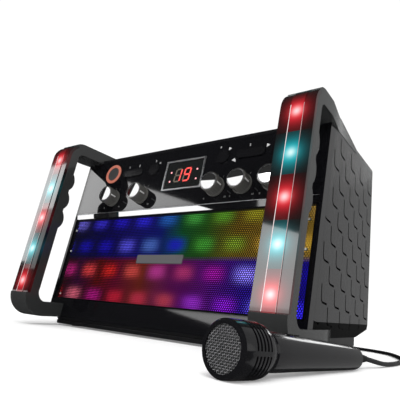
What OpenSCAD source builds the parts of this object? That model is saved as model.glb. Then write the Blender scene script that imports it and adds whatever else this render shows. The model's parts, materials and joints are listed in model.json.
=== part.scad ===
// Karaoke machine with a top loading disc deck, two light columns that are also its
// handles, a lit grille, a slot for a tablet and a corded microphone.
// x runs to the right as seen from the front, y to the back and z up.
// The origin is on the table under the middle of the cabinet's base.

/* [Cabinet] */
// Width of the cabinet over its side panels
body_w = 350; // [344:1:356]
// Depth of the cabinet at its base
base_d = 206; // [205:1:212]
// Height of the top cover above the table
body_h = 230; // [229:0.5:234]
// Lean of the front face from the vertical, in degrees
rake = 10.5; // [10:0.1:11]
// Thickness of the moulded walls
wall = 2.5; // [2:0.1:2.8]
// Height of the stick-on feet
foot_h = 2.5; // [2:0.1:2.8]
// Height of the base pan below the front face
skirt_h = 8; // [7:0.5:9]

/* [Light columns] */
// Width of a light column
column_w = 32.5; // [30:0.5:34]
// How far a column stands in front of the front face at its foot
column_reach = 55.7; // [50:0.5:60]
// Lean of the columns from the vertical, in degrees
column_rake = 10; // [9.5:0.1:10.5]
// Depth of a column from its front to its back
column_t = 16; // [15:0.5:18]
// How far a column's outer side stands out from the side panel
column_proud = 5; // [3:0.5:6]
// Height of the top arm above the top cover
arm_rise = 10; // [8:0.5:12]

/* [Front] */
// Lower edge of the grille, measured up the front face
grille_s0 = 23.5; // [22:0.5:25]
// Upper edge of the grille, measured up the front face
grille_s1 = 134.5; // [130:0.5:136]
// How far the grille lies behind the front face
grille_sink = 1.2; // [1:0.2:2]
// Lower edge of the control panel, measured up the front face
panel_s0 = 142; // [140:1:144]
// Diameter of a control knob
knob_d = 22; // [20:0.5:24]
// Height of a control knob above the panel
knob_h = 16; // [14:0.5:18]
// Travel of a push button
press = 1.2; // [0.8:0.1:1.5]

/* [Disc deck] */
// Diameter of the disc recess
well_d = 123; // [122:0.5:124]
// Distance of the disc's axis behind the middle of the base
disc_y = 9; // [8.5:0.5:9.5]
// Width of the disc lid
lid_w = 144; // [140:1:148]
// Width of the tablet slot
slot_w = 300; // [240:5:310]
// Depth of the tablet slot below the top cover
slot_d = 11; // [8:0.5:12]

/* [Microphone] */
// Diameter of the microphone's head
mic_head_d = 34; // [32:0.5:36]
// Length of the microphone from the front of its head to its tail
mic_l = 150; // [145:1:155]
// Diameter of the microphone's cord
cord_d = 4; // [4:0.1:4.2]

/* [Hidden] */

$fn = 48;
gap = 0.2;
half_w = body_w / 2;
half_d = base_d / 2;
base_z = foot_h + skirt_h;
in_w = half_w - wall;
big = 600;

// Height on the front face's slope where the top cover begins, and the cover's thickness
cover_t = 4;
cover_z = body_h - cover_t;
front_s1 = (cover_z - base_z) / cos(rake);

// y of the front face at a height z
function face_y(z) = -half_d + (z - base_z) * tan(rake);

// Columns of controls: x and place up the face
knob_s = 161;
knob_xs = [-107, -57, 53.5, 87, 122.2];
power_at = [-120, 198.7];
stop_at = [-46, 195.5];
play_at = [55.3, 198.5];
pill_at = [-82.5, 195.5];
skip_at = [90, 198.2];
pill_w = 35;
pill_h = 10;
round_d = 16;
power_d = 19;
ring_d = 27;
display_at = [3.2, 183.4];
display_w = 58;
display_h = 40;
sink = 2.8;

// Places the children on the front face: x across, y up the slope, z outwards
module on_front() {
    translate([0, -half_d, base_z])
        rotate([90 - rake, 0, 0])
            children();
}

module mirrored(side) {
    if (side < 0)
        mirror([1, 0, 0])
            children();
    else
        children();
}

// A flat bar with two round ends, centred
module pill(w, h, t) {
    linear_extrude(t) {
        square([w - h, h], center = true);
        translate([-(w - h) / 2, 0])
            circle(d = h);
        translate([(w - h) / 2, 0])
            circle(d = h);
    }
}

// A rectangle with rounded corners, from one corner to the other
module round_rect(p, q, r) {
    translate([p[0] + r, p[1]])
        square([q[0] - p[0] - 2 * r, q[1] - p[1]]);
    translate([p[0], p[1] + r])
        square([q[0] - p[0], q[1] - p[1] - 2 * r]);
    for (x = [p[0] + r, q[0] - r], y = [p[1] + r, q[1] - r])
        translate([x, y])
            circle(r);
}

// Base pan: a tray with rounded corners whose rim closes the cabinet's underside
rim_z = 30.5;
rim_y0 = -76;
pan_w = half_w - 9;
pan_y0 = -half_d + 1;
pan_y1 = half_d - 8;

module pan_outline(inset) {
    round_rect([-pan_w + inset, pan_y0 + inset], [pan_w - inset, pan_y1 - inset], 18 - inset);
}

module base_pan() color([0.07, 0.07, 0.075]) {
    difference() {
        union() {
            translate([0, 0, foot_h])
                linear_extrude(skirt_h)
                    pan_outline(0);
            intersection() {
                translate([0, 0, foot_h])
                    linear_extrude(rim_z - foot_h)
                        pan_outline(0);
                translate([-half_w, rim_y0, 0])
                    cube([body_w, base_d, body_h]);
            }
            translate([-in_w + gap, rim_y0, rim_z - wall])
                cube([2 * (in_w - gap), half_d - wall - gap - rim_y0, wall]);
        }
        translate([0, 0, foot_h + wall])
            linear_extrude(rim_z)
                pan_outline(wall);
        translate([0, 0, foot_h + skirt_h / 2])
            difference() {
                linear_extrude(1.6)
                    pan_outline(-2);
                translate([0, 0, -1])
                    linear_extrude(4)
                        pan_outline(1);
            }
        for (x = [-6:6])
            translate([x * 9 - 1.5, 28, 0])
                cube([3, 40, foot_h + wall + 1]);
        at_feet()
            cylinder(r = foot_r + 0.4, h = foot_h + foot_in);
    }
    for (x = [-70, 70], y = [-12, 78])
        translate([x, y, foot_h + wall - 0.5])
            difference() {
                cylinder(r = 4, h = 9.5);
                translate([0, 0, 2])
                    cylinder(r = 1.2, h = 9);
            }
}

// Round feet, each in a shallow recess of the pan
foot_r = 7.5;
foot_in = 0.8;

module at_feet() {
    for (x = [-1, 1], y = [pan_y0 + 24, pan_y1 - 24])
        translate([x * (pan_w - 24), y, 0])
            children();
}

module feet() color([0.12, 0.12, 0.12])
    at_feet()
        cylinder(r = foot_r, h = foot_h + foot_in);

// Front frame: the deep front moulding with the grille's window and the panel's pocket
frame_deep = 12;
rail = 3.6;
frame_wall = 4.6;
plate_n = -6;
baffle_n = -11;

module knob_holes(r, h) {
    for (x = knob_xs)
        translate([x, knob_s, -h])
            cylinder(r = r, h = 2 * h);
}

// Baffle behind the grille, and the posts that hold the control board
module baffle() {
    difference() {
        translate([-half_w + frame_wall - 0.5, 14, baffle_n - 2])
            cube([body_w - 2 * frame_wall + 1, 126, 2]);
        for (x = [-speaker_x, speaker_x])
            translate([x, speaker_s, -20])
                cylinder(r = 45.5, h = 20, $fn = 72);
    }
    for (s = [14, 138])
        translate([-half_w + frame_wall - 0.5, s, baffle_n - 0.1])
            cube([body_w - 2 * frame_wall + 1, 2, plate_n - baffle_n + 0.2]);
    for (p = board_posts)
        translate([p[0], p[1], board_n + 1.6])
            cylinder(r = 1.6, h = plate_n - board_n - 1.5);
}

board_n = -14.6;
board_posts = [[-145, 180], [-30.2, 182], [37.5, 182], [147.5, 180], [0, 156]];
speaker_x = 92;
speaker_s = 78.5;

module front_frame() color([0.03, 0.03, 0.035])
    intersection() {
        on_front() {
            baffle();
            difference() {
                union() {
                    translate([-half_w, -4, -frame_deep])
                        cube([body_w, front_s1 + 20, frame_deep]);
                    translate([-in_w + gap, -4, -frame_deep - 9])
                        cube([2 * (in_w - gap), front_s1 + 20, 9 + 1]);
                }
                translate([-half_w + frame_wall, 2.5, -frame_deep - 10])
                    cube([body_w - 2 * frame_wall, front_s1 - 2.5 - 1, frame_deep - 6 + 10]);
                translate([-half_w + rail, grille_s0, -grille_sink - 1])
                    cube([body_w - 2 * rail, grille_s1 - grille_s0, 10]);
                translate([-half_w + rail + 3, grille_s0 + 2, -10])
                    cube([body_w - 2 * rail - 6, grille_s1 - grille_s0 - 4, 20]);
                ledge_bevel();
                translate([-half_w + frame_wall, front_s1 - 5, -frame_deep - 10])
                    cube([body_w - 2 * frame_wall, 30, frame_deep + 2]);
                translate([-half_w + rail - 1, panel_s0, -sink])
                    cube([body_w - 2 * rail + 2, front_s1 - panel_s0 - 2, 10]);
                for (x = [[-142, 110], [40, 105]])
                    translate([x[0], 152, -10])
                        cube([x[1], 62, 20]);
                translate([-28.5, 160, -10])
                    cube([63.5, 46, 20]);
            }
        }
        translate([-big / 2, -big / 2, base_z])
            cube([big, big, cover_z - base_z]);
    }

// The sloping ledge between the grille and the control panel
module ledge_bevel() {
    translate([-half_w + rail, 0, 0])
        rotate([90, 0, 90])
            linear_extrude(body_w - 2 * rail)
                polygon([[grille_s1 - 1, -grille_sink], [grille_s1, -grille_sink],
                         [panel_s0 - 0.8, 0], [panel_s0 - 0.8, 3], [grille_s1 - 1, 3]]);
}

// Grille: a thin sheet with folded edges
module front_grille() color([0.12, 0.1, 0.3])
    on_front()
        difference() {
            translate([-half_w + rail + 0.15, grille_s0 + 0.15, -grille_sink - 1])
                cube([body_w - 2 * rail - 0.3, grille_s1 - grille_s0 - 0.3, 1.6]);
            translate([-half_w + rail + 2, grille_s0 + 2, -grille_sink])
                cube([body_w - 2 * rail - 4, grille_s1 - grille_s0 - 4, 5]);
        }

module control_panel() color([0.02, 0.02, 0.025])
    on_front()
        difference() {
            translate([-half_w + rail - 0.8, panel_s0 + 0.2, -sink])
                cube([body_w - 2 * rail + 1.6, front_s1 - panel_s0 - 2.4, sink]);
            knob_holes(4, 9);
            translate([power_at[0], power_at[1], -5])
                cylinder(d = ring_d + 0.4, h = 10);
            for (c = [stop_at, play_at])
                translate([c[0], c[1], -5])
                    cylinder(d = round_d + 0.5, h = 10);
            translate([pill_at[0], pill_at[1], -5])
                pill(pill_w + 0.5, pill_h + 0.5, 10);
            translate([skip_at[0], skip_at[1], -5])
                pill(pill_w + 0.5, pill_h + 0.5, 10);
            translate([display_at[0] - display_w / 2 - 0.1, display_at[1] - display_h / 2 - 0.1, -5])
                cube([display_w + 0.2, display_h + 0.2, 10]);
        }

// Top cover with the lid's opening, the tablet slot and the hinge ears
lid_y0 = disc_y - 64;
lid_y1 = disc_y + 62;
hinge_y = lid_y1 + 4;
hinge_z = body_h - 2.3;
hinge_x = 50;
barrel_r = 3.5;
slot_y0 = 82;
slot_y1 = 94;
button_at = [96, -42];

module top_cover() color([0.05, 0.05, 0.055]) {
    difference() {
        union() {
            rotate([90, 0, 90])
                translate([0, 0, -in_w + gap])
                    linear_extrude(2 * (in_w - gap))
                        polygon([[face_y(cover_z), cover_z], [face_y(cover_z) + 0.6, body_h - 0.8],
                                 [face_y(cover_z) + 1.6, body_h], [half_d - wall, body_h],
                                 [half_d, body_h - wall], [half_d, cover_z]]);
            translate([-slot_w / 2 - 2, slot_y0 - 2, body_h - slot_d - 2])
                cube([slot_w + 4, slot_y1 - slot_y0 + 4, slot_d]);
            for (x = [-hinge_x, hinge_x])
                translate([x - 12, hinge_y - 3, hinge_z - 5])
                    cube([24, 5, 5]);
        }
        translate([-lid_w / 2 - 0.5, lid_y0 - 0.5, cover_z - 1])
            linear_extrude(10)
                round_rect([0, 0], [lid_w + 1, lid_y1 - lid_y0 + 1.4], 8);
        translate([-slot_w / 2, slot_y0, body_h - slot_d])
            cube([slot_w, slot_y1 - slot_y0, slot_d + 5]);
        for (x = [-hinge_x, hinge_x]) {
            translate([x - 8.2, lid_y1 - 1, cover_z - 6])
                cube([16.4, 10, 16]);
            translate([x - 20, hinge_y, hinge_z])
                rotate([0, 90, 0])
                    cylinder(r = 1.5, h = 40);
        }
        translate([button_at[0], button_at[1], cover_z - 1])
            pill(20.5, 10.5, 10);
    }
}

module hinge_pins() color([0.7, 0.7, 0.72])
    for (x = [-hinge_x, hinge_x])
        translate([x - 12, hinge_y, hinge_z])
            rotate([0, 90, 0])
                cylinder(r = 1.5, h = 24);

// Disc lid with its two hinge barrels and a finger recess at the front
module disc_lid() color([0.05, 0.05, 0.055])
    difference() {
        union() {
            translate([-lid_w / 2, lid_y0, cover_z + 0.4])
                linear_extrude(cover_t - 0.4)
                    round_rect([0, 0], [lid_w, lid_y1 - lid_y0], 7.5);
            translate([0, disc_y, cover_z + 1])
                cylinder(r = 58, h = cover_t - 1 + 0.6);
            for (x = [-hinge_x, hinge_x])
                translate([x - 8, hinge_y, hinge_z])
                    rotate([0, 90, 0]) {
                        cylinder(r = barrel_r, h = 16);
                        translate([-0.9, -6, 0])
                            cube([2.8, 6, 16]);
                    }
        }
        for (x = [-hinge_x, hinge_x])
            translate([x - 20, hinge_y, hinge_z])
                rotate([0, 90, 0])
                    cylinder(r = 1.55, h = 40);
        translate([0, lid_y0 - 4, body_h + 12])
            sphere(r = 15);
    }

module open_button() color([0.3, 0.3, 0.32])
    translate([button_at[0], button_at[1], cover_z - 2]) {
        pill(20, 10, cover_t + 3);
        pill(24, 14, 1.6);
    }

// Disc well: the recess under the lid, with the pickup's window and the rails' brackets
well_z = 212;
deck_z = 208.5;
hub_hole = 17;
rod_z = 202;
rod_dy = 15;
rod_x0 = 16;
rod_x1 = 80;

module disc_well() color([0.09, 0.09, 0.1])
    difference() {
        union() {
            translate([-rod_x1, lid_y0 + 0.5, deck_z])
                cube([2 * rod_x1, lid_y1 - lid_y0 - 0.5, cover_z - deck_z]);
            for (x = [rod_x0 - 4, rod_x1 - 4], y = [disc_y - rod_dy, disc_y + rod_dy])
                translate([x, y - 4, rod_z - 4])
                    cube([4, 8, deck_z - rod_z + 5]);
        }
        translate([0, disc_y, well_z])
            cylinder(d = well_d, h = 30, $fn = 96);
        translate([0, disc_y, deck_z - 5])
            cylinder(r = hub_hole, h = 30);
        translate([10, disc_y - 9, deck_z - 5])
            cube([60, 18, 30]);
        for (y = [disc_y - rod_dy, disc_y + rod_dy])
            translate([rod_x0 - 10, y, rod_z])
                rotate([0, 90, 0])
                    cylinder(r = 1.5, h = 80);
        for (x = [-hinge_x, hinge_x])
            translate([x - 13, lid_y1 - 6, cover_z - 8])
                cube([26, 30, 16]);
        for (a = [45, 225])
            translate([0, disc_y, well_z])
                rotate(a)
                    translate([well_d / 2, 0, 0])
                        cylinder(r = 9, h = 30);
    }

// Turntable: platform, centring boss with three balls, and the shaft below
module turntable() color([0.16, 0.16, 0.17])
    translate([0, disc_y, 0]) {
        difference() {
            union() {
                translate([0, 0, 211.5])
                    cylinder(r = 15, h = 3);
                translate([0, 0, 214])
                    cylinder(r = 7.3, h = 3.6);
                translate([0, 0, 217.6])
                    cylinder(r1 = 7.3, r2 = 5.6, h = 1.2);
            }
            translate([0, 0, 214.6])
                rotate_extrude()
                    translate([12, 0])
                        square([1.4, 2]);
            translate([0, 0, 217])
                cylinder(r = 3.2, h = 4);
        }
        for (a = [0, 120, 240])
            rotate(a)
                translate([6.5, 0, 216.2])
                    sphere(r = 1.3, $fn = 24);
        translate([0, 0, 196])
            cylinder(r = 1.5, h = 16);
    }

module spindle_motor() color([0.55, 0.56, 0.58])
    translate([0, disc_y, 0])
        difference() {
            union() {
                translate([0, 0, 194])
                    cylinder(r = 11, h = 12);
                translate([0, 0, 206])
                    cylinder(r = 3.5, h = 2);
                translate([-15, -21, 206])
                    cube([12, 42, deck_z - 206]);
            }
            translate([0, 0, 194.5])
                cylinder(r = 1.55, h = 20);
        }

module guide_rods() color([0.75, 0.75, 0.78])
    for (y = [disc_y - rod_dy, disc_y + rod_dy])
        translate([rod_x0 - 4, y, rod_z])
            rotate([0, 90, 0])
                cylinder(r = 1.5, h = rod_x1 - rod_x0 + 4);

// Pickup carriage on its two rods, with the lens between two brackets
pick_x = 17;
pick_l = 20;
lens_x = 8;

module pickup() color([0.2, 0.2, 0.22])
    difference() {
        union() {
            translate([pick_x, disc_y - rod_dy - 4, rod_z - 3.5])
                cube([pick_l, 8, 7]);
            translate([pick_x, disc_y + rod_dy - 4, rod_z - 3.5])
                cube([pick_l, 8, 7]);
            translate([pick_x, disc_y - rod_dy + 3, rod_z - 3])
                cube([pick_l, 2 * rod_dy - 6, 6]);
            translate([pick_x + lens_x, disc_y, rod_z + 2])
                cylinder(r = 5, h = 5.5);
            for (x = [0.3, 13.2])
                translate([pick_x + x, disc_y - 7.5, rod_z + 2])
                    cube([2.5, 15, 6]);
        }
        for (y = [disc_y - rod_dy, disc_y + rod_dy])
            translate([pick_x - 5, y, rod_z])
                rotate([0, 90, 0])
                    cylinder(r = 1.55, h = 60);
        translate([pick_x + lens_x, disc_y, rod_z + 10.5])
            sphere(r = 5);
    }

// Side panels with the relief of hooked grooves
groove_w = 2;
groove_deep = 1.2;
hook_dy = 18.9;
hook_up = 18.06;
hook_down = 20.65;
hook_y0 = -31.5;
hook_z0 = 182.2;
panel_set = 12.4;

function hook_y(a, b) = hook_y0 + hook_dy * (a + b);
function hook_z(a, b) = hook_z0 - hook_down * a + hook_up * b;

// One groove: a stroke straight down, a round bend and a foot towards the back
module hook_stroke() {
    translate([-groove_w / 2, -12])
        square([groove_w, 12]);
    difference() {
        translate([5.2, -12])
            circle(r = 5.2 + groove_w / 2);
        translate([5.2, -12])
            circle(r = 5.2 - groove_w / 2);
        translate([5.2, -30])
            square([20, 40]);
        translate([-20, -12])
            square([40, 20]);
    }
    translate([5.1, -17.2 - groove_w / 2])
        rotate(-5)
            square([10.5, groove_w]);
}

screw_in = 6;
screw_zs = [64, 194];

module side_outline() {
    polygon([[face_y(base_z) + panel_set, base_z], [-50, base_z], [-44, 19],
             [58, 19], [half_d, 28], [half_d, cover_z + 2], [half_d - 2, body_h],
             [face_y(body_h) + panel_set, body_h]]);
}

module side_panel() {
    difference() {
        rotate([90, 0, 90])
            translate([0, 0, in_w])
                linear_extrude(wall)
                    side_outline();
        for (a = [-5:12], b = [-9:9])
            if (hook_y(a, b) > face_y(hook_z(a, b)) + 2 && hook_y(a, b) < half_d - 18
                && hook_z(a, b) > 40 && hook_z(a, b) < 224)
                translate([half_w - groove_deep, hook_y(a, b), hook_z(a, b)])
                    rotate([90, 0, 90])
                        linear_extrude(5)
                            hook_stroke();
        translate([half_w, 0, 34])
            rotate([0, 8, 0])
                translate([0, -big / 2, -40])
                    cube([10, big, 40]);
    }
    for (z = screw_zs)
        translate([in_w - screw_in - 4, half_d - wall - 12, z - 4])
            difference() {
                cube([screw_in + 4.1, 12, 8]);
                translate([4, 13, 4])
                    rotate([90, 0, 0])
                        cylinder(r = 1.5, h = 20);
            }
}

module left_side_panel() color([0.07, 0.07, 0.075])
    mirrored(-1)
        side_panel();

module right_side_panel() color([0.07, 0.07, 0.075])
    side_panel();

// Rear cover with air slots, the socket recess and screw holes
jack_x = [118, 92];
jack_z = 74;
av_xs = [-128, -110, -92];
inlet_x = -62;

module rear_cover() color([0.06, 0.06, 0.065])
    difference() {
        rotate([90, 0, 0])
            translate([0, 0, -half_d])
                linear_extrude(wall)
                    polygon([[-in_w + gap, cover_z], [-in_w + gap, 29], [-in_w + 18, 12],
                             [in_w - 18, 12], [in_w - gap, 29], [in_w - gap, cover_z]]);
        for (x = [-7:7], z = [0:2])
            translate([x * 9 - 1.75, half_d - 10, 110 + z * 30])
                cube([3.5, 20, 22]);
        for (x = jack_x)
            translate([x, half_d + 5, jack_z])
                rotate([90, 0, 0])
                    cylinder(r = 6.2, h = 20);
        for (x = av_xs)
            translate([x, half_d + 5, jack_z])
                rotate([90, 0, 0])
                    cylinder(r = 5.2, h = 20);
        translate([inlet_x, half_d + 5, jack_z])
            rotate([90, 0, 0])
                cylinder(r = 5.2, h = 20);
        for (x = [-1, 1], z = screw_zs)
            translate([x * (in_w - screw_in), half_d + 5, z])
                rotate([90, 0, 0]) {
                    cylinder(r = 1.65, h = 20);
                    cylinder(r = 3.4, h = 6);
                }
    }

module cover_screws() color([0.5, 0.5, 0.52])
    for (x = [-1, 1], z = screw_zs)
        translate([x * (in_w - screw_in), half_d - 1, z])
            rotate([90, 0, 0])
                difference() {
                    union() {
                        translate([0, 0, -0.5])
                            cylinder(r = 1.5, h = 9.5);
                        translate([0, 0, -1])
                            cylinder(r = 3, h = 1);
                    }
                    translate([-0.4, -2, -1.5])
                        cube([0.8, 4, 1.1]);
                    translate([-2, -0.4, -1.5])
                        cube([4, 0.8, 1.1]);
                }

// Sockets on the rear
module mic_jacks() color([0.15, 0.15, 0.16])
    for (x = jack_x)
        translate([x, half_d + 1.5, jack_z])
            rotate([90, 0, 0])
                difference() {
                    union() {
                        cylinder(r = 6, h = 12);
                        translate([-8, -8, 4])
                            cube([16, 16, 30]);
                    }
                    translate([0, 0, -1])
                        cylinder(r = 3.2, h = 31);
                }

module av_jacks() color([0.6, 0.55, 0.3])
    for (x = av_xs)
        translate([x, half_d + 9, jack_z])
            rotate([90, 0, 0])
                difference() {
                    union() {
                        cylinder(r = 4.15, h = 14);
                        translate([0, 0, 8.5])
                            cylinder(r = 5, h = 4);
                        translate([-7, -7, 11.5])
                            cube([14, 14, 12]);
                    }
                    translate([0, 0, -1])
                        cylinder(r = 1.6, h = 10);
                }

module power_inlet() color([0.1, 0.1, 0.1])
    translate([inlet_x, half_d + 0.6, jack_z])
        rotate([90, 0, 0])
            difference() {
                union() {
                    cylinder(r = 5, h = 12);
                    translate([-7, -6, 3.1])
                        cube([14, 12, 12]);
                }
                difference() {
                    translate([0, 0, -1])
                        cylinder(r = 3, h = 10);
                    cylinder(r = 0.8, h = 12);
                }
            }

// Handles: a round-cornered loop of top arm, raked column and bottom arm
arm_top = body_h + arm_rise;
arm_bot = base_z;
arm_t = 15;
bend_top = 26;
bend_bot = 25;
lens_t = 5;
lens_z0 = 38;
arm_end = 24;
col_x0 = half_w + column_proud - column_w;

// y of the column's front line at a height z, set back by an amount d square to it
function col_y(z, d) = -half_d - column_reach + (z - base_z) * tan(column_rake) + d / cos(column_rake);

module column_line(d0, d1, z0, z1) {
    polygon([[col_y(z0, d0), z0], [col_y(z1, d0), z1], [col_y(z1, d1), z1], [col_y(z0, d1), z0]]);
}

// Stretches an outline seen from the side across the object, from a place x over a width
module across(x, width) {
    rotate([90, 0, 90])
        translate([0, 0, x])
            linear_extrude(width)
                children();
}

// The handle's block without its opening, moved in by an amount d all round
module handle_block(x, width, d) {
    top = [col_y(arm_top - bend_top, bend_top), arm_top - bend_top];
    bot = [col_y(arm_bot + bend_bot, bend_bot), arm_bot + bend_bot];
    square_on = [cos(column_rake), -sin(column_rake)];
    across(x, width)
        translate(top)
            circle(bend_top - d, $fn = 72);
    across(x, width)
        translate(bot)
            circle(bend_bot - d, $fn = 72);
    across(x, width)
        polygon([bot - (bend_bot - d) * square_on, top - (bend_top - d) * square_on, top,
                 [top[0], arm_top - d], [-35, arm_top - d], [arm_end, body_h - d], [arm_end, 150],
                 [-40, 150], [-40, arm_bot + d], [bot[0], arm_bot + d], bot]);
}

finger_z = [186, 160, 134];
finger_r = 16;

// The opening for the hand, with finger grooves down the column's back
module handle_opening() {
    low = arm_bot + arm_t + 2;
    high = arm_top - arm_t;
    column_line(column_t, 34, low + 12, high - 8);
    polygon([[col_y(low + 12, 26), low], [40, low], [40, high], [col_y(high - 8, 24), high],
             [col_y(high - 8, 20), high - 8], [col_y(low + 12, 26), low + 12]]);
    translate([col_y(high - 8, column_t) + 8, high - 8])
        circle(8);
    translate([col_y(low + 12, column_t) + 12, low + 12])
        circle(12);
}

module finger_ridges() {
    for (z = finger_z)
        translate([col_y(z, column_t - 11.5), z])
            circle(finger_r);
}

// The space that the cabinet takes, which the arms are cut round
module cabinet_space() {
    rotate([90, 0, 90])
        linear_extrude(half_w)
            polygon([[face_y(0) - 0.05, 0], [face_y(body_h) - 0.05, body_h],
                     [half_d, body_h], [half_d, 0]]);
}

module handle_solid() {
    difference() {
        handle_block(col_x0, column_w, 0);
        across(col_x0 - 1, column_w + 2)
            difference() {
                handle_opening();
                finger_ridges();
            }
        cabinet_space();
        side_taper(-20, arm_end, 200);
        side_taper(-75, -40, 0);
        lens_part()
            difference() {
                handle_block(col_x0 - 1, column_w + 2, -0.6);
                handle_block(col_x0 - 2, column_w + 4, lens_t);
            }
        across(col_x0 + 4, column_w - 8)
            column_line(lens_t - 1, lens_t + 3.2, 45, body_h - 10);
    }
}

// Cuts the arm's outer side back to the side panel between two places along y
module side_taper(y0, y1, z) {
    translate([0, 0, z])
        linear_extrude(big)
            polygon([[half_w + column_proud + 0.01, y0], [half_w + 0.3, y1],
                     [half_w + 0.3, half_d], [half_w + 20, half_d], [half_w + 20, y0]]);
}

// Keeps what lies between the lens's foot and its end over the top bend
module lens_part() {
    intersection() {
        children();
        across(col_x0 - 1, column_w + 2)
            polygon([[-200, lens_z0], [-100, lens_z0], [-100, 200], [-112, 260], [-200, 260]]);
    }
}

// The lens: the outer layer of the column, with a raised rib down its middle
module lens() {
    rib_w = 12.6;
    lens_part()
        difference() {
            union() {
                handle_block(col_x0, column_w, 1.2);
                handle_block(col_x0 + (column_w - rib_w) / 2, rib_w, 0.6);
            }
            handle_block(col_x0 - 1, column_w + 2, lens_t);
        }
}

module left_handle() color([0.2, 0.2, 0.21])
    mirrored(-1)
        handle_solid();

module right_handle() color([0.2, 0.2, 0.21])
    handle_solid();

module left_lens() color([0.55, 0.5, 0.5])
    mirrored(-1)
        lens();

module right_lens() color([0.55, 0.5, 0.5])
    lens();

// Light strips inside the columns: a board with five lamps each
lamp_zs = [for (i = [0:4]) 52 + 40 * i];

module led_strips() color([0.9, 0.9, 0.85])
    for (side = [-1, 1])
        mirrored(side) {
            rotate([90, 0, 90])
                translate([0, 0, col_x0 + 7])
                    linear_extrude(column_w - 14)
                        column_line(lens_t + 1.6, lens_t + 3.2, 46, body_h - 11);
            for (z = lamp_zs)
                translate([col_x0 + column_w / 2, col_y(z, lens_t + 1.7), z])
                    rotate([90 - column_rake, 0, 0])
                        translate([-2.5, -2.5, 0])
                            cube([5, 5, 1.3]);
        }

// Lamp bars behind the grille: four rows of nine, each row half a step from the next
bar_ss = [32, 64, 96, 128];
bar_x0 = [-141, -160, -141, -160];
lamp_pitch = 38;

module led_bars() color([0.85, 0.85, 0.8])
    on_front()
        for (row = [0:3]) {
            translate([-168, bar_ss[row] - 4, baffle_n])
                cube([336, 8, 1.6]);
            for (i = [0:8])
                translate([bar_x0[row] + i * lamp_pitch, bar_ss[row], baffle_n + 1.5])
                    cylinder(r = 2.5, h = 2);
        }

// Loudspeakers on the back of the baffle
speaker_n = -0.9;

module speaker_frames() color([0.25, 0.25, 0.27])
    on_front()
        for (x = [-speaker_x, speaker_x])
            translate([x, speaker_s, speaker_n])
                difference() {
                    rotate_extrude($fn = 72)
                        polygon([[0, -62], [28, -62], [28, -48], [22, -46], [26, -40], [46, -15.5],
                                 [52, -15.5], [52, -13], [44.5, -13], [23, -40], [14, -44], [0, -44]]);
                    for (a = [0:60:300])
                        rotate(a)
                            translate([30, -7, -37])
                                cube([30, 14, 20]);
                    translate([0, 0, -50])
                        rotate_extrude()
                            polygon([[12.8, -8], [14.2, -8], [14.2, 10], [12.8, 10]]);
                }

module speaker_cones() color([0.1, 0.1, 0.1])
    on_front()
        for (x = [-speaker_x, speaker_x])
            translate([x, speaker_s, speaker_n])
                rotate_extrude($fn = 72)
                    polygon([[0, -30], [8, -32], [13, -36], [13, -42], [13.6, -42], [14.1, -36.4],
                             [40, -14.6], [43, -13], [51, -13], [51, -12.1], [45, -12.1],
                             [43, -10.9], [39.6, -13.4], [14, -33.6], [8.6, -31], [0, -29]]);

// Circuit boards
module main_board() color([0.1, 0.3, 0.14])
    translate([0, 0, foot_h + wall + 9]) {
        difference() {
            translate([-80, -22, 0])
                cube([160, 110, 1.6]);
            for (x = [-70, 70], y = [-12, 78])
                translate([x, y, -1])
                    cylinder(r = 1.6, h = 5);
        }
        translate([-50, 60, 1.55])
            cube([60, 6, 24]);
        for (x = [26:14:54])
            translate([x, 60, 1.55])
                cylinder(r = 5, h = 18);
        translate([-20, 10, 1.55])
            cube([22, 22, 2.4]);
    }

module control_board() color([0.1, 0.3, 0.14])
    on_front() {
        translate([-149, 152, board_n])
            cube([63, 60, 1.6]);
        translate([-86.1, 152, board_n])
            cube([172.2, 46, 1.6]);
        translate([86, 152, board_n])
            cube([65, 60, 1.6]);
        for (p = switch_spots)
            translate([p[0] - 3, p[1] - 3, board_n + 1.5])
                cube([6, 6, 2.2]);
        rocker_ears();
        for (x = knob_xs)
            translate([x, knob_s, 0])
                difference() {
                    translate([0, 0, board_n + 1.5])
                        cylinder(r = 8.3, h = 6);
                    translate([0, 0, board_n + 1.6])
                        cylinder(r = 3.05, h = 20);
                }
    }

switch_spots = [power_at, stop_at, play_at, pill_at + [-9, 0], pill_at + [9, 0],
                skip_at + [-10, 0], skip_at + [10, 0]];

// The two ears on the board that the skip rocker's pin turns in
module rocker_ears() {
    for (s = [-5, 3.2])
        translate([skip_at[0] - 2.5, skip_at[1] + s, board_n + 1.5])
            difference() {
                cube([5, 1.8, 7.4]);
                translate([2.5, 5, 5.5])
                    rotate([90, 0, 0])
                        cylinder(r = 1.05, h = 10);
            }
}

// Display: a bright frame round a smoked window
module display_frame() color([0.5, 0.5, 0.52])
    on_front()
        translate([display_at[0], display_at[1], 0])
            difference() {
                translate([-display_w / 2, -display_h / 2, -sink])
                    cube([display_w, display_h, sink + 1]);
                translate([-display_w / 2 + 2.5, -display_h / 2 + 2.5, -5])
                    cube([display_w - 5, display_h - 5, 20]);
            }

module display_window() color([0.05, 0.02, 0.02])
    on_front()
        translate([display_at[0], display_at[1], -sink]) {
            translate([-display_w / 2 + 2.6, -display_h / 2 + 2.6, 0])
                cube([display_w - 5.2, display_h - 5.2, sink + 0.2]);
            translate([-display_w / 2 - 2, -display_h / 2 - 1, -2.4])
                cube([display_w + 4, display_h + 2, 2.4]);
        }

module power_ring() color([0.95, 0.35, 0.15])
    on_front()
        translate([power_at[0], power_at[1], 0])
            difference() {
                union() {
                    translate([0, 0, -sink - 1.4])
                        cylinder(d = ring_d + 3, h = 1.4);
                    translate([0, 0, -sink])
                        cylinder(d = ring_d, h = sink + 1);
                }
                translate([0, 0, -9])
                    cylinder(d = power_d + 0.6, h = 20);
                translate([0, 0, -9])
                    cylinder(d = power_d + 3, h = 9 - sink);
            }

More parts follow.
